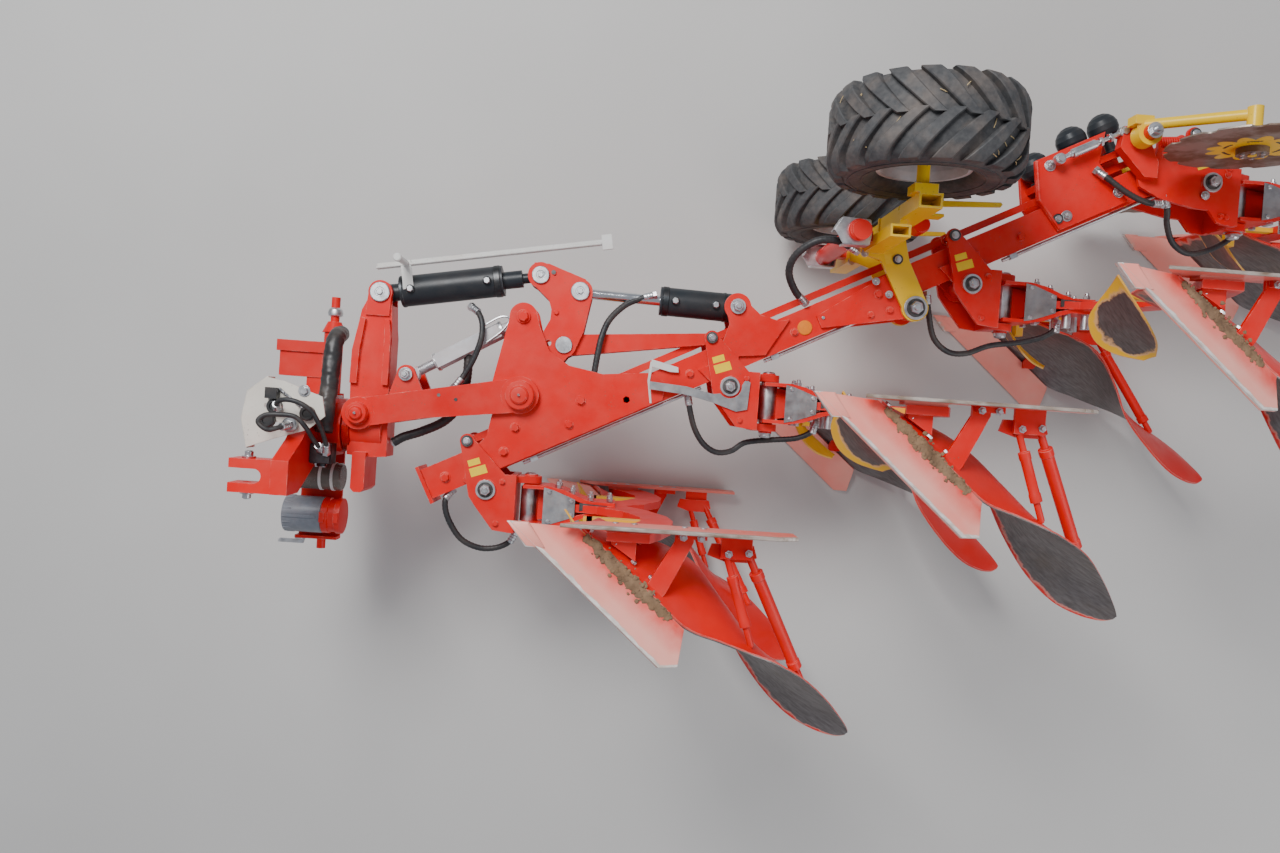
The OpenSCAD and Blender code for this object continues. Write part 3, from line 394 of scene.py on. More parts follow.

# %% [markdown]
# ## Rubber, plastic and soil
# Rubber is dark and rough, with dust that gathers in patches. Clear plastic is smoky and lets
# some light in. Dry soil is a crumbly grey brown: its colour changes in broad patches, and a
# finer noise gives it bumps.

# %% Soft finishes
# Colour, shade, roughness, grains to the metre, depth of the grain, dust
DULL = {
    "tyre_rubber": ((0.040, 0.041, 0.044), (0.075, 0.075, 0.076), 0.68, 220, 0.0008, 0.16),
    "hose_rubber": ((0.016, 0.016, 0.018), (0.030, 0.030, 0.032), 0.5, 260, 0.0005, 0.08),
    "black_plastic": ((0.020, 0.020, 0.022), (0.030, 0.030, 0.030), 0.42, 300, 0.0004, 0.1),
    "grey_plastic": ((0.23, 0.25, 0.29), (0.19, 0.21, 0.24), 0.38, 200, 0.0003, 0.12),
    "soil": ((0.27, 0.165, 0.09), (0.12, 0.068, 0.036), 0.95, 90, 0.004, 0.12),
    "straw": ((0.55, 0.42, 0.22), (0.40, 0.29, 0.14), 0.7, 120, 0.0005, 0.1),
    "label_yellow": ((0.95, 0.66, 0.01), (0.92, 0.60, 0.01), 0.35, 150, 0.0002, 0.08),
    "orange_lens": ((0.86, 0.24, 0.01), (0.80, 0.20, 0.01), 0.18, 300, 0.0003, 0.04),
    "rim_paint": ((0.62, 0.61, 0.63), (0.50, 0.49, 0.50), 0.45, 80, 0.0006, 0.3)}
for name, (colour, shade, rough, grain, depth, dusty) in DULL.items():
    tree, shader = new_finish(name)
    base = mix(tree, patches(tree, grain / 4, 6, 0.35, 0.7), colour, shade)
    dust = patches(tree, 11, 9, 0.45, 0.72, (0.0, dusty))
    wire(tree, shader, colour=mix(tree, dust, base, DUST), rough=rough,
         normal=relief(tree, cloud(tree, grain, 6), 0.5, depth, 0))

tree, shader = new_finish("smoky_plastic")
wire(tree, shader, rough=patches(tree, 30, 5, 0.3, 0.7, (0.12, 0.3)),
     colour=mix(tree, patches(tree, 14, 6, 0.4, 0.7), (0.16, 0.13, 0.11), (0.24, 0.20, 0.17)),
     normal=relief(tree, cloud(tree, 200, 3), 0.15, 0.0004, 0))
shader.inputs["Transmission Weight"].default_value = 0.35
shader.inputs["IOR"].default_value = 1.45

tree, shader = new_finish("floor_finish")
wire(tree, shader, rough=0.9,
     colour=mix(tree, patches(tree, 0.6, 3, 0.3, 0.7), (0.60, 0.59, 0.57), (0.56, 0.55, 0.53)))
floor.data.materials.append(FINISHES["floor_finish"])
print(len(FINISHES), "finishes")

# %% [markdown]
# ## Dressing the solids
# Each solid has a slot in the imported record, such as red paint or grey steel, and the finish of
# the same name goes on it. Only the wheel rims and the pale cylinder get a matter paint. The
# solids' own meshes stay as they are.

# %% Finishes by slot
for part in frame["record"]["subparts"]:
    node = part["node"]
    matt = "rim" in node or node == "furrow_cylinder"
    mesh = frame["nodes"][node].data
    mesh.materials.clear()
    mesh.materials.append(FINISHES["rim_paint" if matt else part["material_slot"]])

# %% [markdown]
# ## Shapes from a few makers
# Small pieces are turned, sawn or bent in a workshop, so the helpers do the same: `turned` spins
# a profile, `sawn` pushes an outline through a plate's thickness, and `bent` sweeps a round
# section along a path. All of them work in the drawing's millimetres, and `finish_piece` then
# carries the mesh into the frame, shades it, and lets it ride on its body.

# %% Turned and sawn shapes
X_AXIS, Y_AXIS, Z_UP = Vector((1, 0, 0)), Vector((0, 1, 0)), Vector((0, 0, 1))
HALVES = (1, -1)


def cross_axes(axis):
    axis = Vector(axis).normalized()
    side = axis.orthogonal().normalized()
    return axis, side, axis.cross(side)


def around(count, start=0.0):
    return [start + 2 * math.pi * k / count for k in range(count)]


def loft(bm, rings, caps=True):
    """Faces between rings of points, each ring with as many points as the next."""
    made = [[bm.verts.new(p) for p in ring] for ring in rings]
    n = len(made[0])
    for low, high in zip(made, made[1:]):
        for k in range(n):
            bm.faces.new((low[k], low[(k + 1) % n], high[(k + 1) % n], high[k]))
    if caps:
        bm.faces.new(reversed(made[0]))
        bm.faces.new(made[-1])
    return made


def turned(bm, base, axis, profile, n=24, caps=True):
    """A profile of (radius, height) pairs spun round an axis that starts at base."""
    axis, u, v = cross_axes(axis)
    loft(bm, [[Vector(base) + axis * h + (u * math.cos(a) + v * math.sin(a)) * max(r, 0.01)
               for a in around(n)] for r, h in profile], caps)


def sawn(bm, outline, low, high, place=Matrix.Identity(4)):
    """An outline in x and y pushed from height low to height high."""
    loft(bm, [[place @ Vector((p[0], p[1], z)) for p in outline] for z in (low, high)])


def block(bm, low, high, place=Matrix.Identity(4)):
    sawn(bm, [(low[0], low[1]), (high[0], low[1]), (high[0], high[1]), (low[0], high[1])],
         low[2], high[2], place)


# %% Bent shapes
def smooth_path(points, step):
    """A smooth curve through the points, with a point every step or so."""
    points = [Vector(p) for p in points]
    ends = [2 * points[0] - points[1]] + points + [2 * points[-1] - points[-2]]
    path = []
    for a, b, c, d in zip(ends, ends[1:], ends[2:], ends[3:]):
        count = max(2, round((c - b).length / step))
        for k in range(count):
            t = k / count
            path.append(0.5 * (2 * b + (c - a) * t + (2 * a - 5 * b + 4 * c - d) * t ** 2
                               + (3 * b - a - 3 * c + d) * t ** 3))
    return path + [points[-1]]


def bent(bm, path, radius, n=12):
    """A round section swept along a path. radius is a number or a function of (length, angle)."""
    side = cross_axes(path[1] - path[0])[1]
    rings, length = [], 0.0
    for k, p in enumerate(path):
        ahead = (path[min(k + 1, len(path) - 1)] - path[max(k - 1, 0)]).normalized()
        side = (side - ahead * side.dot(ahead)).normalized()
        other = ahead.cross(side)
        if k:
            length += (p - path[k - 1]).length
        ring = []
        for a in around(n):
            r = radius(length, a) if callable(radius) else radius
            ring.append(p + (side * math.cos(a) + other * math.sin(a)) * r)
        rings.append(ring)
    loft(bm, rings)


def finish_piece(bm, name, body, finish, both=False, angle=35, replaces=()):
    """Carries a mesh from the drawing into the frame; both adds its mirror image below. A piece
    between two bodies has (first, second, start, end) for its body."""
    if both:
        copy = bmesh.ops.duplicate(bm, geom=bm.verts[:] + bm.edges[:] + bm.faces[:])["geom"]
        for v in (g for g in copy if isinstance(g, bmesh.types.BMVert)):
            v.co.z = -v.co.z
        bmesh.ops.reverse_faces(bm, faces=[g for g in copy if isinstance(g, bmesh.types.BMFace)])
    bmesh.ops.recalc_face_normals(bm, faces=bm.faces[:])
    for v in bm.verts:
        v.co = ORIGIN + v.co * MM
    mesh = bpy.data.meshes.new(name)
    bm.to_mesh(mesh)
    bm.free()
    mesh.shade_smooth()
    mesh.set_sharp_from_angle(angle=math.radians(angle))
    mesh.materials.append(FINISHES[finish])
    piece = bpy.data.objects.new(name, mesh)
    bpy.context.scene.collection.objects.link(piece)
    if isinstance(body, str):
        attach(piece, body)
    else:
        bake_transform(piece, *body)
    if replaces:
        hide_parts(*replaces)
    return piece


# %% [markdown]
# ## Fasteners
# A plough is held together by dozens of bolts, and they catch the eye because they are bright on
# red. Each kind is drawn once, and a table says where they sit. All those of one kind of metal
# on one body become one piece, because they never move apart.

# %% Kinds of fastener
bins = {}


def bin_for(body, finish):
    return bins.setdefault((body, finish), bmesh.new())


def empty_bins(prefix):
    """Each bin that holds something becomes one piece, and the bins start again."""
    filled = [(key, bm) for key, bm in sorted(bins.items()) if len(bm.faces)]
    for (body, finish), bm in filled:
        finish_piece(bm, f"{prefix}_{body}_{finish}", body, finish, angle=30)
    print(prefix, "on", len(filled), "pairs of body and finish")
    bins.clear()


def washer(bm, p, axis, r, h):
    turned(bm, p, axis, [(r - 1, 0), (r, 0.8), (r, h - 0.8), (r - 1, h)], 32)


def hexagon(bm, p, axis, r, h):
    turned(bm, p, axis, [(r, 0), (r, h - r * 0.14), (r * 0.86, h)], 6)


def fastener(kind, body, p, r, axis=Z_UP):
    """Draws one fastener that stands on p. r is the radius of its widest ring."""
    p, axis = Vector(p), Vector(axis)
    zinc, dark, painted = (bin_for(body, f) for f in ("zinc_steel", "dark_steel", "red_paint"))
    if kind == "nut":
        washer(zinc, p, axis, r, 4)
        hexagon(zinc, p + axis * 4, axis, r * 0.72, r * 0.55)
        turned(zinc, p + axis * 4, axis, [(r * 0.36, 0), (r * 0.36, r * 0.8), (r * 0.3, r * 0.86)], 16)
    elif kind == "dark_nut":
        washer(dark, p, axis, r, 6)
        washer(zinc, p + axis * 6, axis, r * 0.66, 3)
        hexagon(zinc, p + axis * 9, axis, r * 0.5, r * 0.42)
    elif kind == "pivot":
        washer(zinc, p, axis, r, 5)
        washer(dark, p + axis * 5, axis, r * 0.78, 3)
        hexagon(zinc, p + axis * 8, axis, r * 0.56, r * 0.40)
        turned(zinc, p + axis * 8, axis, [(r * 0.3, 0), (r * 0.3, r * 0.52), (r * 0.24, r * 0.58)], 16)
    elif kind == "pin":
        turned(zinc, p, axis, [(r, 0), (r, 5), (r * 0.92, 7), (r * 0.5, 7), (r * 0.46, 5), (0, 5)], 32)
        hexagon(zinc, p + axis * 5, axis, r * 0.34, 7)
    elif kind == "painted":
        washer(painted, p, axis, r, 3)
        hexagon(painted, p + axis * 3, axis, r * 0.78, r * 0.6)
    elif kind == "dome":
        turned(painted, p, axis, [(r, 0), (r, 7), (r * 0.94, 10), (r * 0.66, 11), (r * 0.62, 19),
                                  (r * 0.5, 24), (r * 0.18, 26)], 36)
        turned(zinc, p + axis * 25, axis, [(5.5, 0), (5.5, 6), (3, 8), (4, 12), (2, 15)], 12)
    # A thin dark disc on the plate: painted shade where an opening looks dark
    elif kind == "hole":
        turned(dark, p, axis, [(r, 0), (r, 0.8)], 20)


# %% Fasteners on the frame
# How far the plates' outer faces stand off the middle plane
CRANK_TOP, BEAM_TOP, PLATE_TOP, BRACKET_TOP, PIVOT_TOP, ARM_TOP = 55, 65, 80, 100.3, 105.3, 106.2
# Place, stand and radius of each
FRAME_FASTENERS = {
    "painted": [
        (340, 367, PLATE_TOP, 21), (516, 382, BEAM_TOP, 20), (301, 271, PLATE_TOP, 19),
        (95, 245, PLATE_TOP, 20), (57, 149, PLATE_TOP, 20), (755, 500, BEAM_TOP, 18),
        (-163, 34, BEAM_TOP, 22), (521, 378, BEAM_TOP, 16), (977, 600, BEAM_TOP, 19),
        (99, 674, 86, 27), (1464, 858, PLATE_TOP, 18), (1440, 776, PLATE_TOP, 15),
        (1513, 800, PLATE_TOP, 16), (2010, 1125, BEAM_TOP, 18), (1150, 690, BEAM_TOP, 17)],
    "nut": [
        (1256, 752, BEAM_TOP, 19), (-331, 421, 110, 26), (921.9, 771.9, 88, 30),
        (2179, 1216, PLATE_TOP, 22), (2098, 1405, PLATE_TOP, 22), (2376, 1324, PLATE_TOP, 22),
        (2470, 1390, PLATE_TOP, 18)],
    "dark_nut": [(2145, 1202, PLATE_TOP, 20)],
    "dome": [(107, 371, 128, 56), (-503, 261, 128, 40)],
    # Thin dark discs of painted shade where openings look dark
    "hole": [(-201, 350, ARM_TOP, 7), (-135, 337, ARM_TOP, 7)]}
for kind, places in FRAME_FASTENERS.items():
    for x, y, z, r in places:
        for s in HALVES:
            fastener(kind, "frame", (x, y, s * z), r, Z_UP * s)
print(sum(len(places) for places in FRAME_FASTENERS.values()), "fasteners on each side of the frame")

# %% Pins and pivots of the moving bodies
EYE_TOP, YOKE_TOP = 59, 66
for s in HALVES:
    up = Z_UP * s
    fastener("pin", "crank", (152, 841, s * EYE_TOP), 34, up)
    fastener("pin", "crank", (309, 789, s * EYE_TOP), 36, up)
    turned(bin_for("crank", "zinc_steel"), (259, 577, s * EYE_TOP), up, [(33, 0), (33, 3.5), (31, 5)], 32)
    fastener("pin", "yoke", (-458, 730, s * YOKE_TOP), 38, up)
    fastener("painted", "crank", (222, 700, s * CRANK_TOP), 11, up)
    # A thin dark disc of painted shade where an opening looks dark
    fastener("hole", "crank", (201, 855, s * CRANK_TOP), 9, up)
    for leg in range(4):
        body = f"leg_{leg + 1}"
        fastener("pivot", body, on_leg(leg, 0, 0, s * PIVOT_TOP), 38, up)
        fastener("dark_nut", body, on_leg(leg, -82, 182, s * PIVOT_TOP), 22, up)
        for x, y in ((46, -128), (62, 34)):
            fastener("painted", body, on_leg(leg, x, y, s * BRACKET_TOP), 13, up)
    fastener("pivot", "wheel_carrier", on_beam(1800, 0, s * PIVOT_TOP), 46, up)
    rod_eye = on_beam(1800, 0, s * BRACKET_TOP) + Vector((-82, 182, 0))
    fastener("dark_nut", "wheel_carrier", rod_eye, 20, up)
print("bins so far:", len(bins))

# %% [markdown]
# ## Bolts along each leg
# The two curved side plates of a leg are clamped by cross bolts, and the trip pin has a silver
# sleeve with a collar at each end. They are drawn once, on every leg in turn.

# %% Leg bolts, trip pin and spacer
TRIP_X = 164
COLLAR = [(20, 0), (34, 2), (36, 10), (36, 20), (30, 26), (22, 34)]
BOLT_ROWS = ((275, 18), (330, -2), (403, -22), (478, -22))
SPACER_FROM, BOLT_Z = 400, 52
for leg in range(4):
    zinc = bin_for(f"leg_{leg + 1}", "zinc_steel")
    for y in (28, -166):
        turned(zinc, on_leg(leg, TRIP_X, y), Y_AXIS, COLLAR, 32)
    turned(zinc, on_leg(leg, TRIP_X, -120), Y_AXIS, [(35.2, 0), (36, 3), (36, 133), (35.2, 136)], 36)
    turned(zinc, on_leg(leg, TRIP_X, 62), Y_AXIS, [(24, 0), (24, 5), (20, 8), (12, 9)])
    turned(zinc, on_leg(leg, TRIP_X, -170), -Y_AXIS, [(24, 0), (24, 14), (20, 20), (12, 22)])
    for x, y in BOLT_ROWS:
        for z in (-BOLT_Z, BOLT_Z):
            hexagon(zinc, on_leg(leg, x, y + 2, z), Y_AXIS, 13, 14)
            turned(zinc, on_leg(leg, x, y + 14, z), Y_AXIS, [(8, 0), (8, 12), (6, 14)], 12)
            hexagon(zinc, on_leg(leg, x, -106 - y, z), -Y_AXIS, 13, 12)
            if x > SPACER_FROM:
                turned(zinc, on_leg(leg, x, y - 15, z), -Y_AXIS, [(17, 0), (17, 102)], 20)
empty_bins("fasteners")

# %% [markdown]
# ## Boards, skimmers and shares
# A mouldboard is a twisted sheet. On the real one soil slides over the front, which is bare and
# polished, while the back keeps its paint. The CAD solid has few faces, so a finer sheet takes
# its place: the same rows of low edge, crest and bulge, with a smooth curve between them. Each
# point carries a "wear" value that tells the finish where the metal is bare.

# %% Sheets from rows
# x, y and height over the sole of the low edge, the same of the crest, and the bulge
BOARD_ROWS = [
    (394, -38.2, 60.4, 440, -46, 420, 10), (500, -127.6, 60.4, 560, -92, 428, 30),
    (620, -228.9, 60.4, 690, -130, 428, 40), (737, -328, 66, 800, -195, 424, 42),
    (850, -368, 76, 880, -320, 415, 44), (950, -402, 88, 950, -462, 400, 40),
    (1050, -442, 130, 1050, -595, 420, 34), (1150, -500, 176, 1150, -686, 418, 26),
    (1250, -588, 256, 1240, -728, 398, 16), (1330, -680, 322, 1310, -738, 370, 6),
    (1352.9, -715, 344, 1345, -727, 352, 1)]
SKIMMER_ROWS = [
    (325, -4, 300, 345, -66, 440, 4), (385, -82, 300, 345, -130, 515, 10),
    (445, -160, 304, 385, -205, 540, 14), (510, -222, 350, 450, -252, 515, 12),
    (552, -260, 420, 530, -274, 460, 2)]
STEPS = 6


def fine_rows(rows):
    """Rows on smooth curves through the given ones."""
    out = []
    for k, (a, b) in enumerate(zip(rows, rows[1:])):
        before, after = rows[max(k - 1, 0)], rows[min(k + 2, len(rows) - 1)]
        for step in range(STEPS):
            t = step / STEPS
            out.append([0.5 * (2 * q + (r - p) * t + (2 * p - 5 * q + 4 * r - w) * t * t
                               + (3 * q - p - 3 * r + w) * t ** 3)
                        for p, q, r, w in zip(before, a, b, after)])
    return out + [list(rows[-1])]


def sheet_grid(rows, thickness, across):
    """Front and back points of a twisted board, row by row."""
    low = [Vector((r[0], r[1], sole(r[2]))) for r in rows]
    top = [Vector((r[3], r[4], sole(r[5]))) for r in rows]
    mid = [(a + b) / 2 for a, b in zip(low, top)]
    front, back = [], []
    for i, r in enumerate(rows):
        along = mid[min(i + 1, len(rows) - 1)] - mid[max(i - 1, 0)]
        away = along.cross(top[i] - low[i]).normalized()
        line = [k / across for k in range(across + 1)]
        front.append([low[i] * (1 - s) + top[i] * s + away * r[6] * 4 * s * (1 - s) for s in line])
        back.append([p + away * thickness for p in front[-1]])
    return front, back


def shell(bm, front, back, wear, back_wear=lambda along, across: 0.0):
    """A closed sheet. The two functions give the wear from the share of the way along and across."""
    layer = bm.verts.layers.float.get("wear") or bm.verts.layers.float.new("wear")
    n, m = len(front), len(front[0])
    sides = []
    for grid, worn in ((front, wear), (back, back_wear)):
        verts = [[bm.verts.new(p) for p in row] for row in grid]
        for i in range(n):
            for j in range(m):
                verts[i][j][layer] = worn(i / (n - 1), j / (m - 1))
        for i in range(n - 1):
            for j in range(m - 1):
                bm.faces.new((verts[i][j], verts[i][j + 1], verts[i + 1][j + 1], verts[i + 1][j]))
        sides.append(verts)
    a, b = sides
    rim = ([(0, j) for j in range(m)] + [(i, m - 1) for i in range(1, n)]
           + [(n - 1, j) for j in range(m - 2, -1, -1)] + [(i, 0) for i in range(n - 2, 0, -1)])
    for (i, j), (k, l) in zip(rim, rim[1:] + rim[:1]):
        bm.faces.new((a[i][j], a[k][l], b[k][l], b[i][j]))


# %% Boards and skimmers on each leg
BOARD_T, SKIMMER_T = 9, 7
BOARD_ACROSS, SKIMMER_ACROSS = 14, 12
LEG_Y, LEG_T, LAND_Y = -52, 30, -26


def board_wear(along, across):
    edge = min(along * 9, (1 - across) * 7, 1.0)
    return 0.25 + 0.75 * edge


def skimmer_wear(along, across):
    edge = min(along * 4.2, (1 - along) * 4.2, across * 12 + 0.4, (1 - across) * 3.2)
    return max(0.0, min(edge * 0.8, 1.0))


for leg, shift in enumerate(LEGS):
    for name, rows, t, across, wear in (
            ("board", BOARD_ROWS, BOARD_T, BOARD_ACROSS, board_wear),
            ("skimmer", SKIMMER_ROWS, SKIMMER_T, SKIMMER_ACROSS, skimmer_wear)):
        front, back = sheet_grid(fine_rows(rows), t, across)
        bm = bmesh.new()
        if name == "skimmer":
            block(bm, on_leg(leg, 400, LEG_Y - 10, sole(480)), on_leg(leg, 590, LEG_Y + 10, sole(440)))
            block(bm, on_leg(leg, 388, -137, sole(480)), on_leg(leg, 420, LEG_Y + 10, sole(440)))
        shell(bm, [[p + shift for p in r] for r in front], [[p + shift for p in r] for r in back], wear)
        finish_piece(bm, f"{name}_{leg + 1}", f"leg_{leg + 1}", f"{name}_steel", both=True, angle=50,
                     replaces=(f"leg_{leg + 1}_{name}s",))
print("boards of", len(fine_rows(BOARD_ROWS)), "by", BOARD_ACROSS + 1, "points a side")

# %% [markdown]
# ## What holds a board
# Behind each board there are lugs, a strut to the landside and two stays. A stay is a rod that
# screws into a tube, so it is turned in steps, with a flattened end and a bolt at each side. A
# ray from each foot finds the back of the board, so that every end really reaches the sheet.

# %% Where a line meets the board
board_back = sheet_grid(fine_rows(BOARD_ROWS), BOARD_T, BOARD_ACROSS)[1]
width = len(board_back[0])
sheet = BVHTree.FromPolygons(
    [p for row in board_back for p in row],
    [(i * width + j, i * width + j + 1, (i + 1) * width + j + 1, (i + 1) * width + j)
     for i in range(len(board_back) - 1) for j in range(width - 1)])


def reach(start, way):
    """Where a line from start meets the back of the board, 3 mm into the sheet."""
    start, way = Vector(start), Vector(way).normalized()
    hit = sheet.ray_cast(start, way)[0]
    return (hit or start + way * 40) + way * 3


def stay(bm, a, b, rod_r, tube_r, t0, t1):
    """A rod in a tube, from a to b; the tube starts and ends at the shares t0 and t1."""
    length = (b - a).length
    turned(bm, a, b - a, [(rod_r * 0.6, -14), (rod_r, -8), (rod_r, length * t0),
                          (tube_r * 1.12, length * t0 + 2), (tube_r * 1.12, length * t0 + 26),
                          (tube_r, length * t0 + 30), (tube_r, length * t1 - 30),
                          (tube_r * 1.12, length * t1 - 26), (tube_r * 1.12, length * t1),
                          (rod_r, length * t1 + 3), (rod_r, length - 12), (rod_r * 0.6, length - 4)], 20)


def lug(bm, x0, x1, low, place):
    """A lug from the leg's side to the board's back, 40 mm high."""
    ends = []
    for x in (x0, x1):
        hits = [reach((x, -60, z), -Y_AXIS) for z in (low, low + 20, low + 40)]
        ends.append((x, max(p.y for p in hits)))
    sawn(bm, ends + [(x1, LEG_Y - LEG_T / 2), (x0, LEG_Y - LEG_T / 2)], low, low + 40, place)


print("board back:", len(board_back) * width, "points")

# %% Stays, strut and lugs on each leg
FORK = [(800, -100), (812, -62), (948, -62), (960, -100), (930, -118), (856, -118)]
STRUT = [(690, -56), (690, LAND_Y), (750, LAND_Y), (750, -56), (672, -222), (650, -250), (600, -250),
         (600, -220)]
# Foot, a point that the stay aims at, radius of rod and tube, and where the tube starts and ends
STAYS = (((860, -96, 120), (968, -404, 125), 11, 17, 0.22, 0.76),
         ((926, -80, 122), (1196, -596, 270), 13, 21, 0.15, 0.88))
NUTS = ((866, -90, 104), (930, -84, 104), (615, -238, 76), (632, -228, 76), (715, -40, 60), (770, -40, 60))
SEAM_BOLTS = ((422, -42), (504, -82), (564, -136), (622, -182))
for leg, shift in enumerate(LEGS):
    body = f"leg_{leg + 1}"
    place = Matrix.Translation(shift)
    bm = bmesh.new()
    lug(bm, 525, 590, sole(250), place)
    lug(bm, 490, 570, sole(125), place)
    sawn(bm, STRUT, sole(90), sole(76), place)
    block(bm, (840, -106, sole(118)), (940, LAND_Y, sole(104)), place)
    block(bm, (700, -46, sole(104)), (790, LAND_Y, sole(60)), place)
    for foot, tip, rod_r, tube_r, t0, t1 in STAYS:
        foot, tip = (Vector((p[0], p[1], sole(p[2]))) for p in (foot, tip))
        stay(bm, shift + foot, shift + reach(foot, tip - foot), rod_r, tube_r, t0, t1)
    sawn(bm, FORK, sole(136), sole(126), place)
    finish_piece(bm, f"board_braces_{leg + 1}", body, "red_paint", both=True, angle=30)
    bm = bmesh.new()
    for x, y, h in NUTS:
        turned(bm, on_leg(leg, x, y, sole(h)), Z_UP, [(13, 0), (13, 3), (8.5, 3), (8.5, 12), (7, 14)], 6)
    for x, y in SEAM_BOLTS:
        hexagon(bm, on_leg(leg, x, y, sole(96)), (0.55, 0.72, 0.2), 11, 9)
    finish_piece(bm, f"brace_bolts_{leg + 1}", body, "zinc_steel", both=True, angle=30)
print(len(STAYS), "stays a board")

# %% [markdown]
# ## Shares and chisel points
# The share cuts the furrow's floor. Its paint is burnished to a pink, the cutting edge is
# bright, and near the board the paint is still red. It is a flat plate, so a grid of a few strips
# is enough, with the strips close together where the wear changes.

# %% Share plates
EDGE_A, EDGE_B, CORNER = Vector((178, -16, 0)), Vector((660, -437, 0)), Vector((720, -437, 18))
REAR_A, REAR_B = Vector((385, -31, 59)), Vector((737, -328, 59))
SHARE_DOWN = -Vector((0.271, 0.31, 0.912)).normalized()
SHARE_T, ROWS = 14, 12
STRIPS = (0.0, 0.03, 0.07, 0.12, 0.3, 0.5, 0.75, 0.9, 1.0)
low = [EDGE_A.lerp(EDGE_B, k / ROWS) for k in range(ROWS + 1)] + [CORNER]
rear = [REAR_A.lerp(REAR_B, k / ROWS) for k in range(ROWS + 1)] + [REAR_B - Vector((2, 14, 0.4))]
for leg in range(4):
    front, back = [], []
    for a, b in zip(low, rear):
        line = [a.lerp(b, s) for s in STRIPS]
        front.append([on_leg(leg, p.x, p.y, sole(p.z)) for p in line])
        back.append([p + SHARE_DOWN * SHARE_T for p in front[-1]])
    bm = bmesh.new()
    shell(bm, front, back, lambda along, across: 1.0 - across * 2)
    rings = []
    for height, inset in ((0.2, 5), (3, 0), (22, 0)):
        rings.append([on_leg(leg, *p, sole(height)) for p in (
            (168 + inset, -17 - inset), (234 - inset * 0.5, -17 - inset),
            (288 - inset, -92 + inset), (229 + inset * 0.5, -92 + inset))])
    layer = bm.verts.layers.float["wear"]
    for ring, value in zip(loft(bm, rings), (0.2, 0.9, 0.5)):
        for k, v in enumerate(ring):
            v[layer] = value if k in (0, 3) else 0.0
    finish_piece(bm, f"share_{leg + 1}", f"leg_{leg + 1}", "worn_paint", both=True, angle=30,
                 replaces=(f"leg_{leg + 1}_shares",))
print("shares of", len(STRIPS) - 1, "strips, each with a chisel point")

# %% [markdown]
# ## Tyres
# The depth wheels wear wide tyres with chevron lugs. The carcass is one turned profile with
# round shoulders. A lug is a bar that starts at the crown and sweeps back towards the shoulder,
# getting wider; its top follows the carcass, so it is lofted from short sections. Its sweep is
# what makes it look like rubber and not like a row of blocks.

# %% Carcass and lugs
TYRE_R, TYRE_HALF, CROWN_R, RIM_R, LUG_H = 330, 150, 310, 160, 20
LUGS, LUG_STEPS, SWEEP = 18, 8, math.radians(27)
# Radius of the sidewall, and its share of half the width
SIDEWALL = [(RIM_R, 0.72), (166, 0.80), (180, 0.88), (200, 0.93), (222, 0.965), (244, 0.975),
            (264, 0.95), (279, 0.9), (292, 0.8), (301, 0.66), (307, 0.45), (CROWN_R, 0.2)]
RIBS = ((206, 0.942), (250, 0.972))


def chevron(hub, s, start):
    """Rings of one lug on side s of the tyre, from the crown to the shoulder."""
    rings = []
    for step in range(LUG_STEPS + 1):
        t = step / LUG_STEPS
        y = s * (-8 + t * (TYRE_HALF * 0.955 + 8))
        base = CROWN_R - 26 * max(0.0, t - 0.62) ** 1.5 * 4.2
        top = min(TYRE_R, base + LUG_H + 4 * (1 - t)) - (0 if t < 0.9 else 50 * (t - 0.9))
        half = 23 + 11 * t
        ring = []
        for r, w in ((base - 14, half + 5), (top - 4, half + 1), (top, half - 4),
                     (top, 4 - half), (top - 4, -half - 1), (base - 14, -half - 5)):
            a = start + SWEEP * t ** 0.9 + w / TYRE_R
            ring.append(hub + Vector((math.sin(a) * r, y, math.cos(a) * r)))
        rings.append(ring)
    return rings


def tyre(bm, hub):
    side = [(r, -y * TYRE_HALF) for r, y in SIDEWALL]
    profile = side + [(CROWN_R, 0)] + [(r, -y) for r, y in reversed(side)]
    profile += [(RIM_R - 2, 0.6 * TYRE_HALF), (RIM_R - 2, -0.6 * TYRE_HALF), profile[0]]
    turned(bm, hub, Y_AXIS, profile, 96, caps=False)
    bmesh.ops.remove_doubles(bm, verts=bm.verts[:], dist=0.01)
    for s in (-1, 1):
        for r, y in RIBS:
            turned(bm, hub, Y_AXIS * s, [(r - 3, y * TYRE_HALF - 6), (r - 2, y * TYRE_HALF + 1.5),
                                         (r + 2, y * TYRE_HALF + 1.5), (r + 3, y * TYRE_HALF - 6)],
                   96, caps=False)
        for start in around(LUGS, math.pi / LUGS if s > 0 else 0.0):
            loft(bm, chevron(hub, s, start))
    # The chevrons point the way that the wheel rolls
    for v in bm.verts:
        v.co.x = 2 * hub.x - v.co.x


for name in ("upper", "lower"):
    hub = drawn(f"{name}_wheel_spin")
    bm = bmesh.new()
    tyre(bm, hub)
    finish_piece(bm, f"{name}_tyre_rubber", f"{name}_wheel", "tyre_rubber", angle=28,
                 replaces=(f"{name}_tyre",))
    bm = bmesh.new()
    for s, nut_y in ((-1, -4), (1, 22)):
        for a in around(6):
            hexagon(bm, hub + Vector((math.cos(a) * 76, nut_y, math.sin(a) * 76)), Y_AXIS * s, 12, 14)
        turned(bm, hub + Y_AXIS * s * 60, Y_AXIS * s, [(40, 0), (40, 6), (34, 16), (14, 22)])
    finish_piece(bm, f"{name}_wheel_nuts", f"{name}_wheel", "zinc_steel", angle=30)
print(2 * LUGS, "lugs on a tyre")

# %% [markdown]
# ## Landsides
# The landside runs along the furrow wall and takes the side thrust. It is a flat bar, and the
# ground has rubbed its lower edge bright; since the upper bodies hang upside down, that edge is
# the one that is seen from the air. Its paint has gone darker and browner than the share's, so
# the bar has a finish of its own.

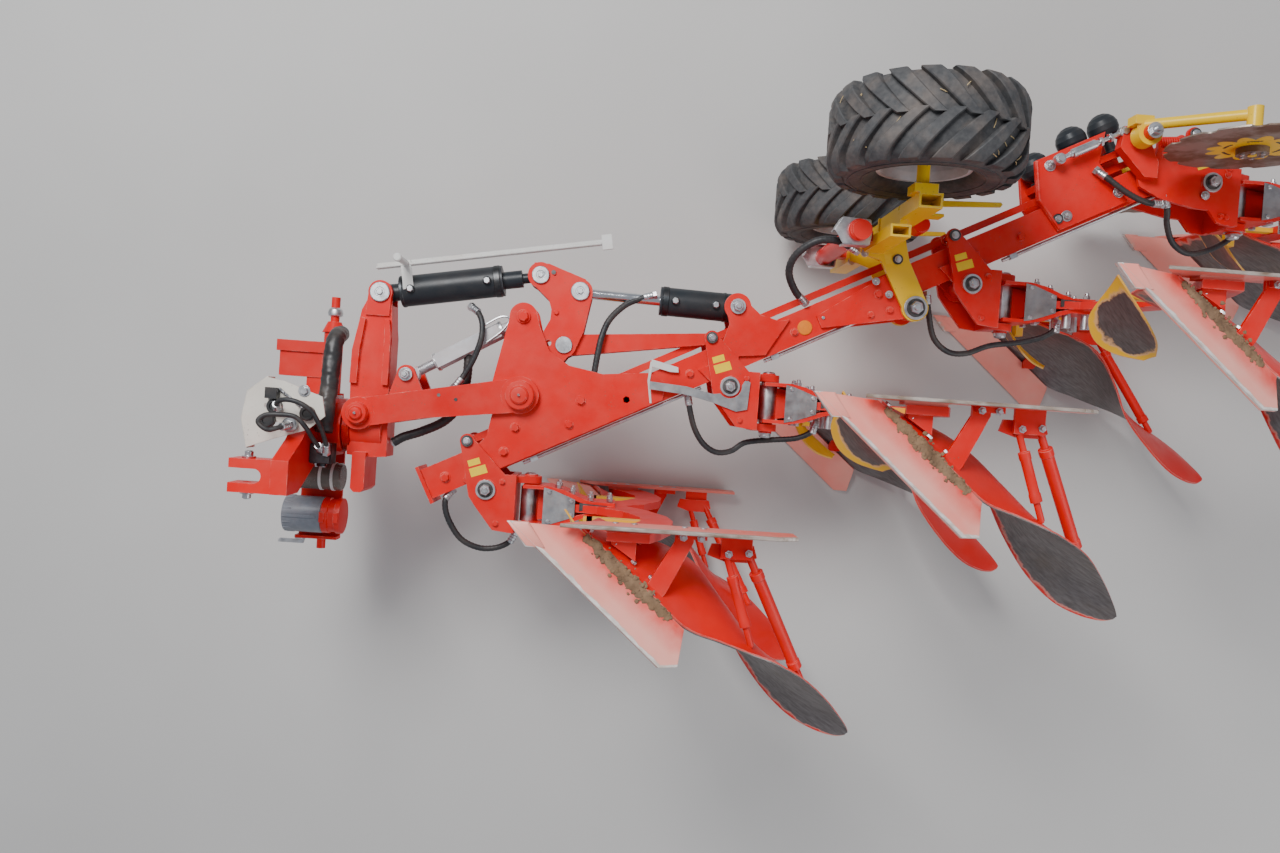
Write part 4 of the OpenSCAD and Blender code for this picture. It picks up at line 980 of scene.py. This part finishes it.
# %% Landside bars
LANDSIDE_A, LANDSIDE_B = 330, 1070
LANDSIDE_TOP, LANDSIDE_H, LANDSIDE_T, LANDSIDE_Y = 860, 130, 12, -14
foot = LANDSIDE_TOP - LANDSIDE_H
for leg in range(4):
    front, back = [], []
    for k in range(13):
        x = LANDSIDE_A + (LANDSIDE_B - LANDSIDE_A) * k / 12
        top = LANDSIDE_TOP - max(0, x - (LANDSIDE_B - 60)) * 0.5
        low = foot
        if x < LANDSIDE_A + 100:
            low = max(foot, min(top - 4, LANDSIDE_TOP - (x - LANDSIDE_A) * 1.3 - 4))
        for grid, y, inset in ((front, LANDSIDE_Y, -2), (back, LANDSIDE_Y - LANDSIDE_T, 2)):
            grid.append([on_leg(leg, x, y, max(z, low)) for z in (low, top - 30, top - 8, top - 2)]
                        + [on_leg(leg, x, y + inset, top)])
    bm = bmesh.new()
    shell(bm, front, back, lambda along, across: 0.9 if across > 0.4 else 0.0,
          lambda along, across: 0.9 if across > 0.7 else 0.0)
    block(bm, on_leg(leg, 470, LEG_Y + LEG_T / 2, foot + 6),
          on_leg(leg, 610, LANDSIDE_Y - LANDSIDE_T, foot + 62))
    bar = finish_piece(bm, f"landside_{leg + 1}", f"leg_{leg + 1}", "worn_paint", both=True, angle=30,
                       replaces=(f"leg_{leg + 1}_landsides",))
    bar.data.materials[0] = FINISHES["worn_bar"]
    for s in HALVES:
        for x in (500, 560, 720, 780):
            turned(bin_for(f"leg_{leg + 1}", "zinc_steel"), on_leg(leg, x, LANDSIDE_Y, s * (foot + 30)),
                   Y_AXIS, [(11, 0), (11, 1.5), (9, 3)], 20)
print("landsides", LANDSIDE_B - LANDSIDE_A, "mm long")

# %% [markdown]
# ## Hoses
# Black hydraulic hoses feed each leg's stone release, the wheel and the cylinders. They wear a
# spiral guard, which shows as an even ripple, and each end has a pressed ferrule and a hexagon
# nut. A hose to a leg spans the leg's own hinge: near the beam it stays with the frame, and
# further on it turns smoothly into the leg's movement.

# %% Hoses and their fittings
CRIMPS = [(12, 0), (15, 1), (15, 8), (13.5, 10), (15, 12), (15, 20), (13.5, 22), (15, 24), (15, 33), (13, 36)]
RIPPLE_PITCH = 15.0


def ferrule(body, end, inside):
    """A crimped sleeve and a hexagon nut at the end of a hose."""
    axis = (inside - end).normalized()
    zinc = bin_for(body, "zinc_steel")
    hexagon(zinc, end - axis * 8, axis, 17, 16)
    turned(zinc, end + axis * 8, axis, CRIMPS, 20)


def hose(name, r, bodies, points, ripple=0.09, inner=(0, -1)):
    """A guarded hose on one body, or from one body to the next between its two inner points."""
    path = smooth_path(points, 5)
    bm = bmesh.new()
    bent(bm, path, lambda length, angle: r * (1 - ripple * 0.5 + ripple * 0.5 * math.sin(
        2 * math.pi * length / RIPPLE_PITCH + angle)))
    start, end = (ORIGIN + Vector(points[k]) * MM for k in inner)
    rides = bodies[0] if len(bodies) == 1 else (*bodies, start, end)
    piece = finish_piece(bm, name, rides, "hose_rubber", angle=60)
    ferrule(bodies[0], path[0], path[3])
    ferrule(bodies[-1], path[-1], path[-4])


# %% Hoses to the legs
LEG_HOSES = [
    [(-138, -18, 30), (-160, -60, 46), (-146, -127, 40), (-96, -205, 20), (-26, -240, 0), (40, -238, -10),
     (90, -214, -20), (114, -176, -20)],
    [(752, 420, 60), (768, 352, 56), (792, 286, 36), (832, 230, 14), (886, 200, 0), (946, 208, -16),
     (1003, 245, -24), (1099, 262, -24), (1200, 276, -10), (1258, 306, 0), (1270, 342, 0)],
    [(1660, 880, 60), (1676, 800, 52), (1712, 710, 26), (1780, 662, 4), (1859, 662, -10),
     (1956, 700, -22), (2075, 722, -22), (2160, 748, -6), (2204, 782, 0), (2210, 812, 0)],
    [(2560, 1318, 84), (2578, 1266, 76), (2595, 1222, 50), (2640, 1158, 20), (2710, 1124, 0),
     (2790, 1137, -20), (2883, 1180, -50), (2960, 1236, -66)]]
for leg, points in enumerate(LEG_HOSES):
    bodies = ("leg_4",) if leg == 3 else ("frame", f"leg_{leg + 1}")
    hose(f"hose_leg_{leg + 1}", 12, bodies, points, inner=(2, -2))

# %% Hoses to wheel, yoke and cylinders
hose("hose_saddle", 12, ("frame", "leg_4"),
     [(2276, 1396, 94), (2318, 1360, 116), (2388, 1312, 124), (2466, 1284, 118), (2540, 1286, 96)])
hose("hose_wheel", 15, ("wheel_carrier", "frame"),
     [(1340, 1000, 190), (1262, 1024, 232), (1180, 1018, 236), (1112, 968, 200), (1096, 908, 160),
      (1132, 846, 112), (1182, 806, 74)])
hose("hose_yoke", 19, ("yoke", "frame"),
     [(-384, 152, 0), (-346, 176, 0), (-274, 204, 0), (-190, 250, 0), (-136, 320, 0), (-116, 410, 0),
      (-112, 516, 0)])
hose("hose_drag", 12, ("frame",),
     [(-112, 702, 12), (-82, 680, 34), (-62, 640, 52), (-60, 580, 62), (-84, 500, 58), (-120, 430, 54),
      (-150, 384, 58)])
hose("hose_width_rear", 13, ("frame", "width_cylinder"),
     [(380, 400, 50), (384, 470, 62), (392, 545, 64), (404, 620, 60), (430, 690, 38), (486, 752, 16),
      (548, 784, 10), (600, 800, 14)])

# %% [markdown]
# ## Hitch fittings
# Round the headstock hang the things a driver uses: a tube for the papers, a smoky tube for the
# grease gun's cartridges, the rack where the hoses park, a bent handle, and the sleeve that
# bundles the hoses over the turnover housing.

# %% Two tubes
TURN_Y = 197
DOC_Y, DOC_Z, DOC_R = -160, -67.7, 72
CLEAR_Z, CLEAR_R = -28, 54


def grip_ribs(bm, x, y, z, r, count, profile):
    """Small ribs round a cap, for the fingers."""
    for a in around(count):
        turned(bm, (x, y + math.cos(a) * r, z + math.sin(a) * r), X_AXIS, profile, 8)


bm = bmesh.new()
turned(bm, (-806, DOC_Y, DOC_Z), X_AXIS,
       [(DOC_R - 8, 0), (DOC_R - 1, 3), (DOC_R, 12), (DOC_R, 150), (DOC_R - 3, 152)], 56)
block(bm, (-800, DOC_Y - 6, DOC_Z + DOC_R - 3), (-670, DOC_Y + 6, DOC_Z + DOC_R + 4))
grip_ribs(bm, -800, DOC_Y, DOC_Z, DOC_R - 1, 16, [(3, 0), (3.4, 2), (3.4, 30), (1, 34)])
finish_piece(bm, "document_tube", "headstock", "grey_plastic", angle=40, replaces=("tool_tubes",))
bm = bmesh.new()
turned(bm, (-654, DOC_Y, DOC_Z), X_AXIS,
       [(DOC_R - 3, 0), (DOC_R - 1, 1), (DOC_R - 1, 26), (DOC_R - 6, 28), (DOC_R - 6, 52),
        (DOC_R - 1, 54), (DOC_R - 1, 74), (DOC_R - 10, 76)], 56)
block(bm, (-720, -60, -139.7), (-660, 60, -79.7))
for x in (-655, -600):
    block(bm, (x, DOC_Y - 20, DOC_Z + DOC_R - 4), (x + 18, DOC_Y + 20, DOC_Z + DOC_R + 5))
finish_piece(bm, "document_tube_bands", "headstock", "red_paint", angle=40)

bm = bmesh.new()
turned(bm, (-742, 0, CLEAR_Z), X_AXIS,
       [(CLEAR_R - 4, 0), (CLEAR_R, 2), (CLEAR_R, 158), (CLEAR_R - 5, 164)], 56)
finish_piece(bm, "clear_tube", "headstock", "smoky_plastic", angle=40)
bm = bmesh.new()
turned(bm, (-775, 0, CLEAR_Z), X_AXIS,
       [(CLEAR_R - 5, 0), (CLEAR_R + 2, 3), (CLEAR_R + 3, 10), (CLEAR_R + 3, 30), (CLEAR_R - 2, 33)], 56)
grip_ribs(bm, -771, 0, CLEAR_Z, CLEAR_R + 2, 24, [(2, 0), (2.4, 2), (2.4, 24), (1, 26)])
finish_piece(bm, "clear_tube_cap", "headstock", "black_plastic", angle=40)
bm = bmesh.new()
for x in (-664, -618):
    turned(bm, (x, 0, CLEAR_Z), X_AXIS,
           [(CLEAR_R, 0), (CLEAR_R + 2.5, 1), (CLEAR_R + 2.5, 11), (CLEAR_R, 12)], 56)
finish_piece(bm, "clear_tube_rings", "headstock", "white_paint", angle=40)
print("tubes of", 2 * DOC_R, "and", 2 * CLEAR_R, "mm")

# %% Wrapped sleeve
SLEEVE_R = 33


def sleeve_radius(length, angle):
    """Soft folds all round, and the faint turns of the wrapping."""
    fold = noise.noise(Vector((length / 30, math.cos(angle) * 1.3, math.sin(angle) * 1.3)))
    wander = 2.4 * noise.noise(Vector((length / 60, angle, 0)))
    return SLEEVE_R + 4.4 * fold + 0.5 * math.sin(length / 4.2 + wander)


sleeve = smooth_path([(-634, TURN_Y + 366, -60), (-618, TURN_Y + 358, 20), (-614, TURN_Y + 330, 74),
                      (-615, TURN_Y + 260, 92), (-616, TURN_Y + 180, 106), (-616, TURN_Y + 80, 126),
                      (-614, TURN_Y - 16, 146)], 4)
bm = bmesh.new()
bent(bm, sleeve, sleeve_radius, 28)
piece = finish_piece(bm, "hose_sleeve_cloth", "headstock", "black_plastic", angle=60,
                     replaces=("hose_sleeve",))

# %% Couplings on the rack
RACK_TOP = 256
head = "headstock"
zinc, black, grey = (bin_for(head, f) for f in ("zinc_steel", "black_plastic", "grey_steel"))
turned(black, (-612, TURN_Y + 12, 96.3), Z_UP, [(14, 0), (14, 24)], 20)
for metal_bin, x, y in ((black, -760, 268), (black, -782, 216), (grey, -700, 205), (black, -640, 250)):
    turned(metal_bin, (x, y, RACK_TOP), Z_UP,
           [(26, 0), (27, 4), (27, 22), (22, 26), (16, 26), (15, 20), (4, 20)], 28)
block(black, (-790, 296, RACK_TOP), (-748, 336, RACK_TOP + 36))
for k in range(9):
    link_way = (0.6, -0.4, -0.3 if k % 2 == 0 else 0.3)
    turned(zinc, (-744 + k * 12, 330 - k * 9, 264 + 4 * math.sin(k)), link_way,
           [(4, -7), (6, -5), (6, 5), (4, 7)], 10)
hexagon(zinc, (-660, 331, RACK_TOP + 1), Z_UP, 15, 12)
washer(zinc, (-660, 331, RACK_TOP), Z_UP, 22, 3)
print("rack top", RACK_TOP, "mm over the middle plane")

# %% Pins, handle and valve block
for s in HALVES:
    turned(zinc, (-812, 21 + s * 61, 345), Y_AXIS * s,
           [(20, -8), (24, 0), (24, 6), (15, 8), (15, 22), (10, 26)])
    turned(bin_for(head, "red_paint"), (-566, TURN_Y, 0), X_AXIS, [(80, -4), (88, 0), (88, 24), (80, 28)], 48)
    fastener("nut", head, (-640, TURN_Y - 108, s * 40), 14, -Y_AXIS)
    for x in (-690, -620):
        turned(zinc, (x, TURN_Y + 110, s * 30 - 30), Y_AXIS,
               [(14, 0), (14, 3), (10, 3), (10, 12), (8, 14)], 6)
# The bent handle, its foot, and the ends of the cross shaft
sawn(zinc, [(-842, -284), (-742, -284), (-736, -262), (-744, -258), (-748, -268), (-836, -268),
            (-842, -274)], -106, -98)
block(zinc, (-776, -266, -150), (-752, -258, -98))
turned(zinc, (-744, 650, -350), Y_AXIS, [(19, 0), (30, 6), (32, 18), (28, 32), (19, 40)], 28)
turned(zinc, (-744, -286, -350), Y_AXIS, [(19, 0), (27, 5), (27, 12), (19, 16)], 28)
block(bin_for(head, "black_iron"), (-654, TURN_Y - 132, 160), (-580, TURN_Y - 62, 172))
for x in (-640, -612):
    turned(zinc, (x, TURN_Y - 134, 128), -Y_AXIS, [(12, 0), (12, 8), (8, 8), (8, 16)], 6)
print("bins on the headstock:", sum(body == head for body, finish in bins))

# %% Hoses over the rack
hose("hose_rack_loop", 9, (head,),
     [(-700, 205, 284), (-716, 196, 330), (-752, 186, 352), (-784, 212, 356), (-764, 236, 352),
      (-717, 242, 350), (-660, 238, 344), (-626, 204, 330), (-612, 160, 280), (-612, 116, 176)], 0.03)
hose("hose_rack_arc", 9, (head,),
     [(-746, 262, 280), (-732, 282, 330), (-700, 296, 348), (-650, 290, 350), (-606, 262, 338),
      (-584, 210, 300), (-584, 150, 220), (-592, 108, 176)], 0.03)

# %% [markdown]
# ## Cylinders and the scale
# A cylinder shows its gland, the ports with their elbows and the weld beads at its ends. The
# white bar is a scale of the travel, with a round head on its post. The pale cylinder at the
# front carries a threaded end, a folded cover and a wire bracket.

# %% Glands and ports
DRAG = (Vector((-458, 730, 0)), Vector((152, 841, 0)))
WIDTH = (on_beam(1020, 0) + Vector((12, 311, 0)), Vector((309, 789, 0)))
FURROW = (Vector((-331, 421, 0)), Vector((99, 674, 0)))
for (a, b), r, first, last, body in ((DRAG, 60, 72, 462, "drag"), (WIDTH, 56, 40, 292, "width_cylinder")):
    iron, steel = bin_for(body, "black_iron"), bin_for(body, "zinc_steel")
    way = (b - a).normalized()
    turned(iron, a + way * first, way, [(r - 6, 0), (r + 2, 1), (r + 2, 9), (r, 12)], 48)
    turned(iron, a + way * last, way,
           [(r, -26), (r + 2.5, -24), (r + 2.5, -3), (r - 5, 6), (r - 14, 8)], 48)
    for h in (first + 44, last - 50):
        turned(iron, a + way * h + Z_UP * (r - 4), Z_UP, [(16, 0), (16, 10), (13, 12)])
        hexagon(steel, a + way * h + Z_UP * (r + 7), Z_UP, 13, 10)
    print(body, "is", round((b - a).length), "mm between its eyes")

# %% The pale cylinder's thread, cover and bracket
THREADS, PITCH = 14, 4.8
way = (FURROW[1] - FURROW[0]).normalized()
pale = bin_for("frame", "zinc_steel")
for k in range(THREADS):
    turned(pale, FURROW[0] + way * (36 + k * PITCH), way, [(18, 0), (20, 1.6), (20, 2.6), (18, 4.4)])
for h in (108, 392):
    turned(pale, FURROW[0] + way * h, way, [(34, 0), (37, 1.5), (37, 10), (34, 12)], 36)
cover = bin_for("frame", "rim_paint")
level = Matrix.Translation(FURROW[0]) @ way.to_track_quat("X", "Z").to_matrix().to_4x4()
block(cover, (112, -25, 33), (388, 25, 38), level)
for y in (-25, 21):
    block(cover, (112, y, 12), (388, y + 4, 34), level)
bent(pale, smooth_path([(-68, 609, 36), (-50, 634, 40), (8, 670, 40), (42, 664, 40), (20, 620, 42),
                        (-41, 566, 42)], 8), 4.2, 8)
print("thread of", round(THREADS * PITCH), "mm")

# %% The white scale
MARKS = 23
way = (DRAG[1] - DRAG[0]).normalized()
left = Vector((-way.y, way.x, 0))
white = bin_for("drag", "white_paint")
for k in range(MARKS):
    mark = DRAG[0] + left * 99 + Z_UP * 60 + way * (36 + k * 37)
    turned(white, mark, Z_UP, [(3.5, -1), (3.5, 1), (2.5, 2)], 10)
bent(white, [DRAG[0] + left * 94 + way * h + Z_UP * (62 + z)
             for h, z in ((-4, 0), (300, 3), (600, 3), (868, 0))], 5, 10)
turned(white, DRAG[0] + way * 110 + left * 100 + Z_UP * 196, Z_UP, [(14, 0), (16, 2), (16, 12), (12, 16)])
print(MARKS, "marks on the scale")

# %% [markdown]
# ## Depth wheel fittings
# Two square tubes and an arm carry each wheel. In front of them a bent silver guard covers the
# stop, whose red cap can be turned to set the depth. A strap and a pin hold the parts that are
# turned over together with the plough.

# %% Guard, strap and wheel arm
GUARD = [(1228, 1051), (1255, 1099), (1357, 1095), (1363, 1050), (1357, 1006), (1260, 1004)]
STRAP = [(1560, 1150), (1566, 1184), (1831, 1196), (1838, 1188), (1831, 1178), (1610, 1164)]
GUARD_LOW, GUARD_HIGH, GUARD_T = 248, 300, 6
carrier = "wheel_carrier"
zinc, red, yellow = (bin_for(carrier, f) for f in ("zinc_steel", "red_paint", "yellow_paint"))
for s in HALVES:
    sawn(zinc, GUARD, *sorted((s * GUARD_HIGH, s * (GUARD_HIGH + GUARD_T))))
    for a, b in zip(GUARD, GUARD[1:]):
        a, b = Vector((*a, 0)), Vector((*b, 0))
        side = Z_UP.cross(b - a).normalized() * GUARD_T / 2
        sawn(zinc, [a + side, b + side, b - side, a - side], *sorted((s * GUARD_LOW, s * GUARD_HIGH)))
    turned(red, (1313, 1054, s * (GUARD_HIGH + GUARD_T)), Z_UP * s,
           [(38, 0), (40, 3), (40, 18), (34, 26), (10, 28), (8, 22)], 36)
    turned(red, (1561, 1105, s * 180), Z_UP * s, [(30, 0), (32, 2), (32, 70), (29, 74), (12, 76)], 32)
    sawn(yellow, STRAP, *sorted((s * 292, s * 300)))
    block(yellow, (1520, 1118, min(s * 282, s * 300)), (1580, 1180, max(s * 282, s * 300)))
    for x, y, z, r in ((1528, 1120, 250, 15), (1528, 1120, 180, 12), (1460, 1034, 250, 12)):
        hexagon(zinc, (x, y, s * z), X_AXIS, r, 12)
    for x, y in ((1446, 905), (1394, 1010), (1500, 858)):
        fastener("nut", carrier, (x, y, s * BRACKET_TOP), 15, Z_UP * s)
print("guards", GUARD_HIGH - GUARD_LOW, "mm deep")

# %% [markdown]
# ## Rear saddle, turnbuckle and coulters
# At the rear the saddle carries the pressure vessels. A bright turnbuckle sets the last leg, and
# a coil spring keeps the coulter arm against its stop. On the discs the soil has left a star of
# yellow paint, and small slots round the hub take the bolts of a larger one. Each slot is drawn
# as a thin dark disc, painted shade where the slot looks dark.

# %% Turnbuckle
bm = bmesh.new()
a, b = Vector((2113, 1420, 128)), Vector((2353, 1542, 128))
way = b - a
turned(bm, a, way, [(9, 0), (9, 40), (12, 42), (12, 52), (18, 54), (18, 150), (12, 152), (12, 162),
                    (9, 164), (9, way.length)])
for p in (a, b):
    turned(bm, p - Z_UP * 14, Z_UP, [(19, 0), (21, 2), (21, 26), (19, 28)], 28)
    hexagon(bm, p + Z_UP * 14, Z_UP, 15, 9)
    turned(bm, (p.x, p.y, 80.3), Z_UP, [(14, 0), (14, 34)], 20)
for h in (60, 168, 208):
    hexagon(bm, a + way.normalized() * h, way, 18, 12)
sawn(bm, [(2360, 1500), (2376, 1528), (2404, 1532), (2446, 1512), (2450, 1500), (2440, 1490),
          (2390, 1482)], 132, 138)
finish_piece(bm, "turnbuckle", "frame", "zinc_steel", angle=30)
print("turnbuckle", round(way.length), "mm between its eyes")

# %% Coil spring between two ears
COIL_STEPS, COIL_TURN, COIL_R, WIRE_R = 120, 0.42, 19, 4
bm = bmesh.new()
for x in (-213, -138):
    ear = [on_leg(3, x - 12, 66), on_leg(3, x + 12, 70), on_leg(3, x + 9, 162), on_leg(3, x - 9, 160)]
    sawn(bm, ear, 85, 100)
a, b = on_leg(3, -213, 141, 93), on_leg(3, -138, 147, 93)
axis, u, v = cross_axes(b - a)
coil = [a + axis * ((b - a).length * k / COIL_STEPS)
        + (u * math.cos(k * COIL_TURN) + v * math.sin(k * COIL_TURN)) * COIL_R
        for k in range(COIL_STEPS + 1)]
bent(bm, coil, WIRE_R, 8)
finish_piece(bm, "coulter_spring", "leg_4", "red_paint", angle=60)
print("spring with", round(COIL_STEPS * COIL_TURN / (2 * math.pi)), "coils")

# %% Saddle lips, bolts and discs
LIP = ((2446, 66), (2416, 198), (2464, 340))
REAR_BOLTS = (("nut", 2747, 1394, PIVOT_TOP, 20), ("nut", 2705, 1330, PIVOT_TOP, 17),
              ("painted", 2793, 1441, BRACKET_TOP, 14), ("painted", 2795, 1251, BRACKET_TOP, 14))


def star_radius(a, side):
    ragged = noise.noise(Vector((math.cos(a) * 3, math.sin(a) * 3, side)))
    return 108 + 42 * abs(math.sin(6 * a)) + 16 * ragged


def on_disc(hub, a, r, y):
    return hub + Vector((math.cos(a) * r, y, math.sin(a) * r))


for s, body in zip(HALVES, ("upper_coulter", "lower_coulter")):
    for a, b in zip(LIP, LIP[1:]):
        p, q = on_beam(*a, s * 84), on_beam(*b, s * 84)
        bent(bin_for("frame", "red_paint"), [p, (p + q) / 2, q], 5, 8)
    for kind, x, y, z, r in REAR_BOLTS:
        fastener(kind, "leg_4", (x, y, s * z), r, Z_UP * s)
    fastener("nut", "leg_4", on_leg(3, -326, 133, s * 260), 30, Z_UP * s)
    hub = on_leg(3, -60, 45, s * 420)
    for side, bolt_y in ((1, 14.1), (-1, -25.9)):
        loft(bin_for(body, "yellow_paint"),
             [[on_disc(hub, a, star_radius(a, side), side * y) for a in around(96)] for y in (2.9, 3.3)])
        for a in around(6):
            hexagon(bin_for(body, "zinc_steel"), on_disc(hub, a, 36, bolt_y), Y_AXIS * side, 8, 7)
            # Each slot is a thin dark disc: painted shade where the slot looks dark
            for step in range(-2, 3):
                slot = on_disc(hub, a + math.radians(6 * step), 92, side * 3)
                turned(bin_for(body, "dark_steel"), slot, Y_AXIS * side, [(6, 0), (6, 0.5)], 10)
print("bolts and paint on", len(HALVES), "discs")

# %% [markdown]
# ## Labels, reflector and covers
# The labels are blank yellow stickers, each a little thicker than the paint. An amber reflector
# faces the road. Over each trip pin lies a pale grey cover.

# %% Labels and covers
LABELS = [[(-77, 106), (-33, 122), (-25, 99), (-69, 83)], [(-69, 75), (-8, 97), (4, 66), (-57, 44)]]
COVER = [(222, 22), (258, 14), (345, -18), (345, -86), (258, -118), (222, -126)]
DARK_STRIP = [(362, -30), (470, -34), (470, -52), (362, -60)]
COVER_NUTS = ((244, 6), (244, -110), (330, -24), (330, -78))
COVER_LOW, COVER_HIGH = 80.2, 83


def sheet_on(body, finish, outline, low, high):
    """A thin plate on the upper side of the plough, and its mirror image below."""
    for s in HALVES:
        sawn(bin_for(body, finish), outline, *sorted((s * low, s * high)))


sheet_on(carrier, "label_yellow", [(1470, 1010), (1520, 1020), (1528, 984), (1480, 974)],
         BRACKET_TOP, BRACKET_TOP + 0.6)
for s in HALVES:
    turned(bin_for("frame", "orange_lens"), (1190, 710, s * BEAM_TOP), Z_UP * s,
           [(29, 0), (29, 3), (26, 6), (14, 8)], 36)
for leg in range(4):
    body = f"leg_{leg + 1}"
    for finish, outline, low, high in (
            *(("label_yellow", label, BRACKET_TOP, BRACKET_TOP + 0.6) for label in LABELS),
            ("grey_steel", COVER, COVER_LOW, COVER_HIGH), ("dark_steel", DARK_STRIP, COVER_LOW, 84)):
        sheet_on(body, finish, [on_leg(leg, *p) for p in outline], low, high)
    for s in HALVES:
        for x, y in COVER_NUTS:
            turned(bin_for(body, "zinc_steel"), on_leg(leg, x, y, s * COVER_HIGH), Z_UP * s,
                   [(9, 0), (9, 4), (6, 6)], 6)
print(len(LABELS), "blank labels on each side of a leg")

# %% [markdown]
# ## Soil and straw
# The plough was photographed at work, so a crust of soil lies along the seam of share and board
# and bits of straw hang in the treads. The crust is a low ribbon with ragged sides, thickest in
# the middle of the seam, and crumbs are strewn over it with a fixed seed.

# %% Soil crust
random.seed(7)
CRUST_STEPS, CRUMBS = 90, 150


def clod(bm, p, r):
    made = bmesh.ops.create_icosphere(bm, subdivisions=2, radius=r)["verts"]
    shift = Vector((random.random(), random.random(), random.random())) * 90
    for v in made:
        swell = 0.75 + 0.6 * noise.noise(v.co * (1.6 / r) + shift)
        v.co = Vector((v.co.x * swell, v.co.y * swell, v.co.z * swell * 0.42)) + p


def seam_point(leg, share, off, up=0.0):
    """A point along the joint of share and board, and off it towards the board."""
    x, y = 400 + 322 * share, -44 - 280 * share
    rise = -0.45 * off if off < 0 else -0.06 * off
    return on_leg(leg, x + off * 0.66, y + off * 0.75, min(sole(59) + up + rise, 846))


def crust_ring(leg, k):
    """A section of the crust: nine points over the top, and three under it."""
    share = 0.03 + 0.87 * k / CRUST_STEPS
    spread = 12 + 18 * math.sin(math.pi * share) + 11 * noise.noise(Vector((k / 4, leg, 3)))
    start = 6 * noise.noise(Vector((k / 7, leg, 9))) - spread
    top = [seam_point(leg, share, start + spread * 0.2 * j,
                      7 * math.sin(math.pi * j / 8) + 3.5 * noise.noise(Vector((k / 2, j, leg))))
           for j in range(9)]
    return top + [seam_point(leg, share, start + spread * part, -6) for part in (1.6, 0.8, 0.0)]


for leg in range(4):
    bm = bmesh.new()
    loft(bm, [crust_ring(leg, k) for k in range(CRUST_STEPS + 1)])
    for k in range(CRUMBS):
        share = 0.03 + random.random() * 0.88
        thick = math.sin(math.pi * share)
        clod(bm, seam_point(leg, share, random.gauss(-0.3, 0.9) * (5 + 11 * thick), 4),
             random.uniform(3, 9) * (0.6 + 0.6 * thick))
    finish_piece(bm, f"soil_on_body_{leg + 1}", f"leg_{leg + 1}", "soil", angle=80)
print(CRUMBS, "crumbs a body")

# %% Straw in the tread
STALKS = 70
bm = bmesh.new()
for k in range(STALKS):
    a, y = random.uniform(0, 2 * math.pi), random.uniform(-120, 120)
    r = 309 + random.uniform(0, 3)
    p = WHEEL + Vector((math.sin(a) * r, y, math.cos(a) * r))
    way = Vector((random.gauss(0, 1), random.gauss(0, 1), random.gauss(0, 1)))
    way = (way - way.project(p - WHEEL)).normalized() * random.uniform(8, 22)
    bent(bm, [p - way, p + way * 0.1 + (p - WHEEL) * 0.006, p + way], 1.5, 5)
finish_piece(bm, "straw_on_tyre", "upper_wheel", "straw", angle=60)
empty_bins("details")

# %% Finish
low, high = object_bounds()
print("visual box", [round(b - a, 3) for a, b in zip(low, high)])
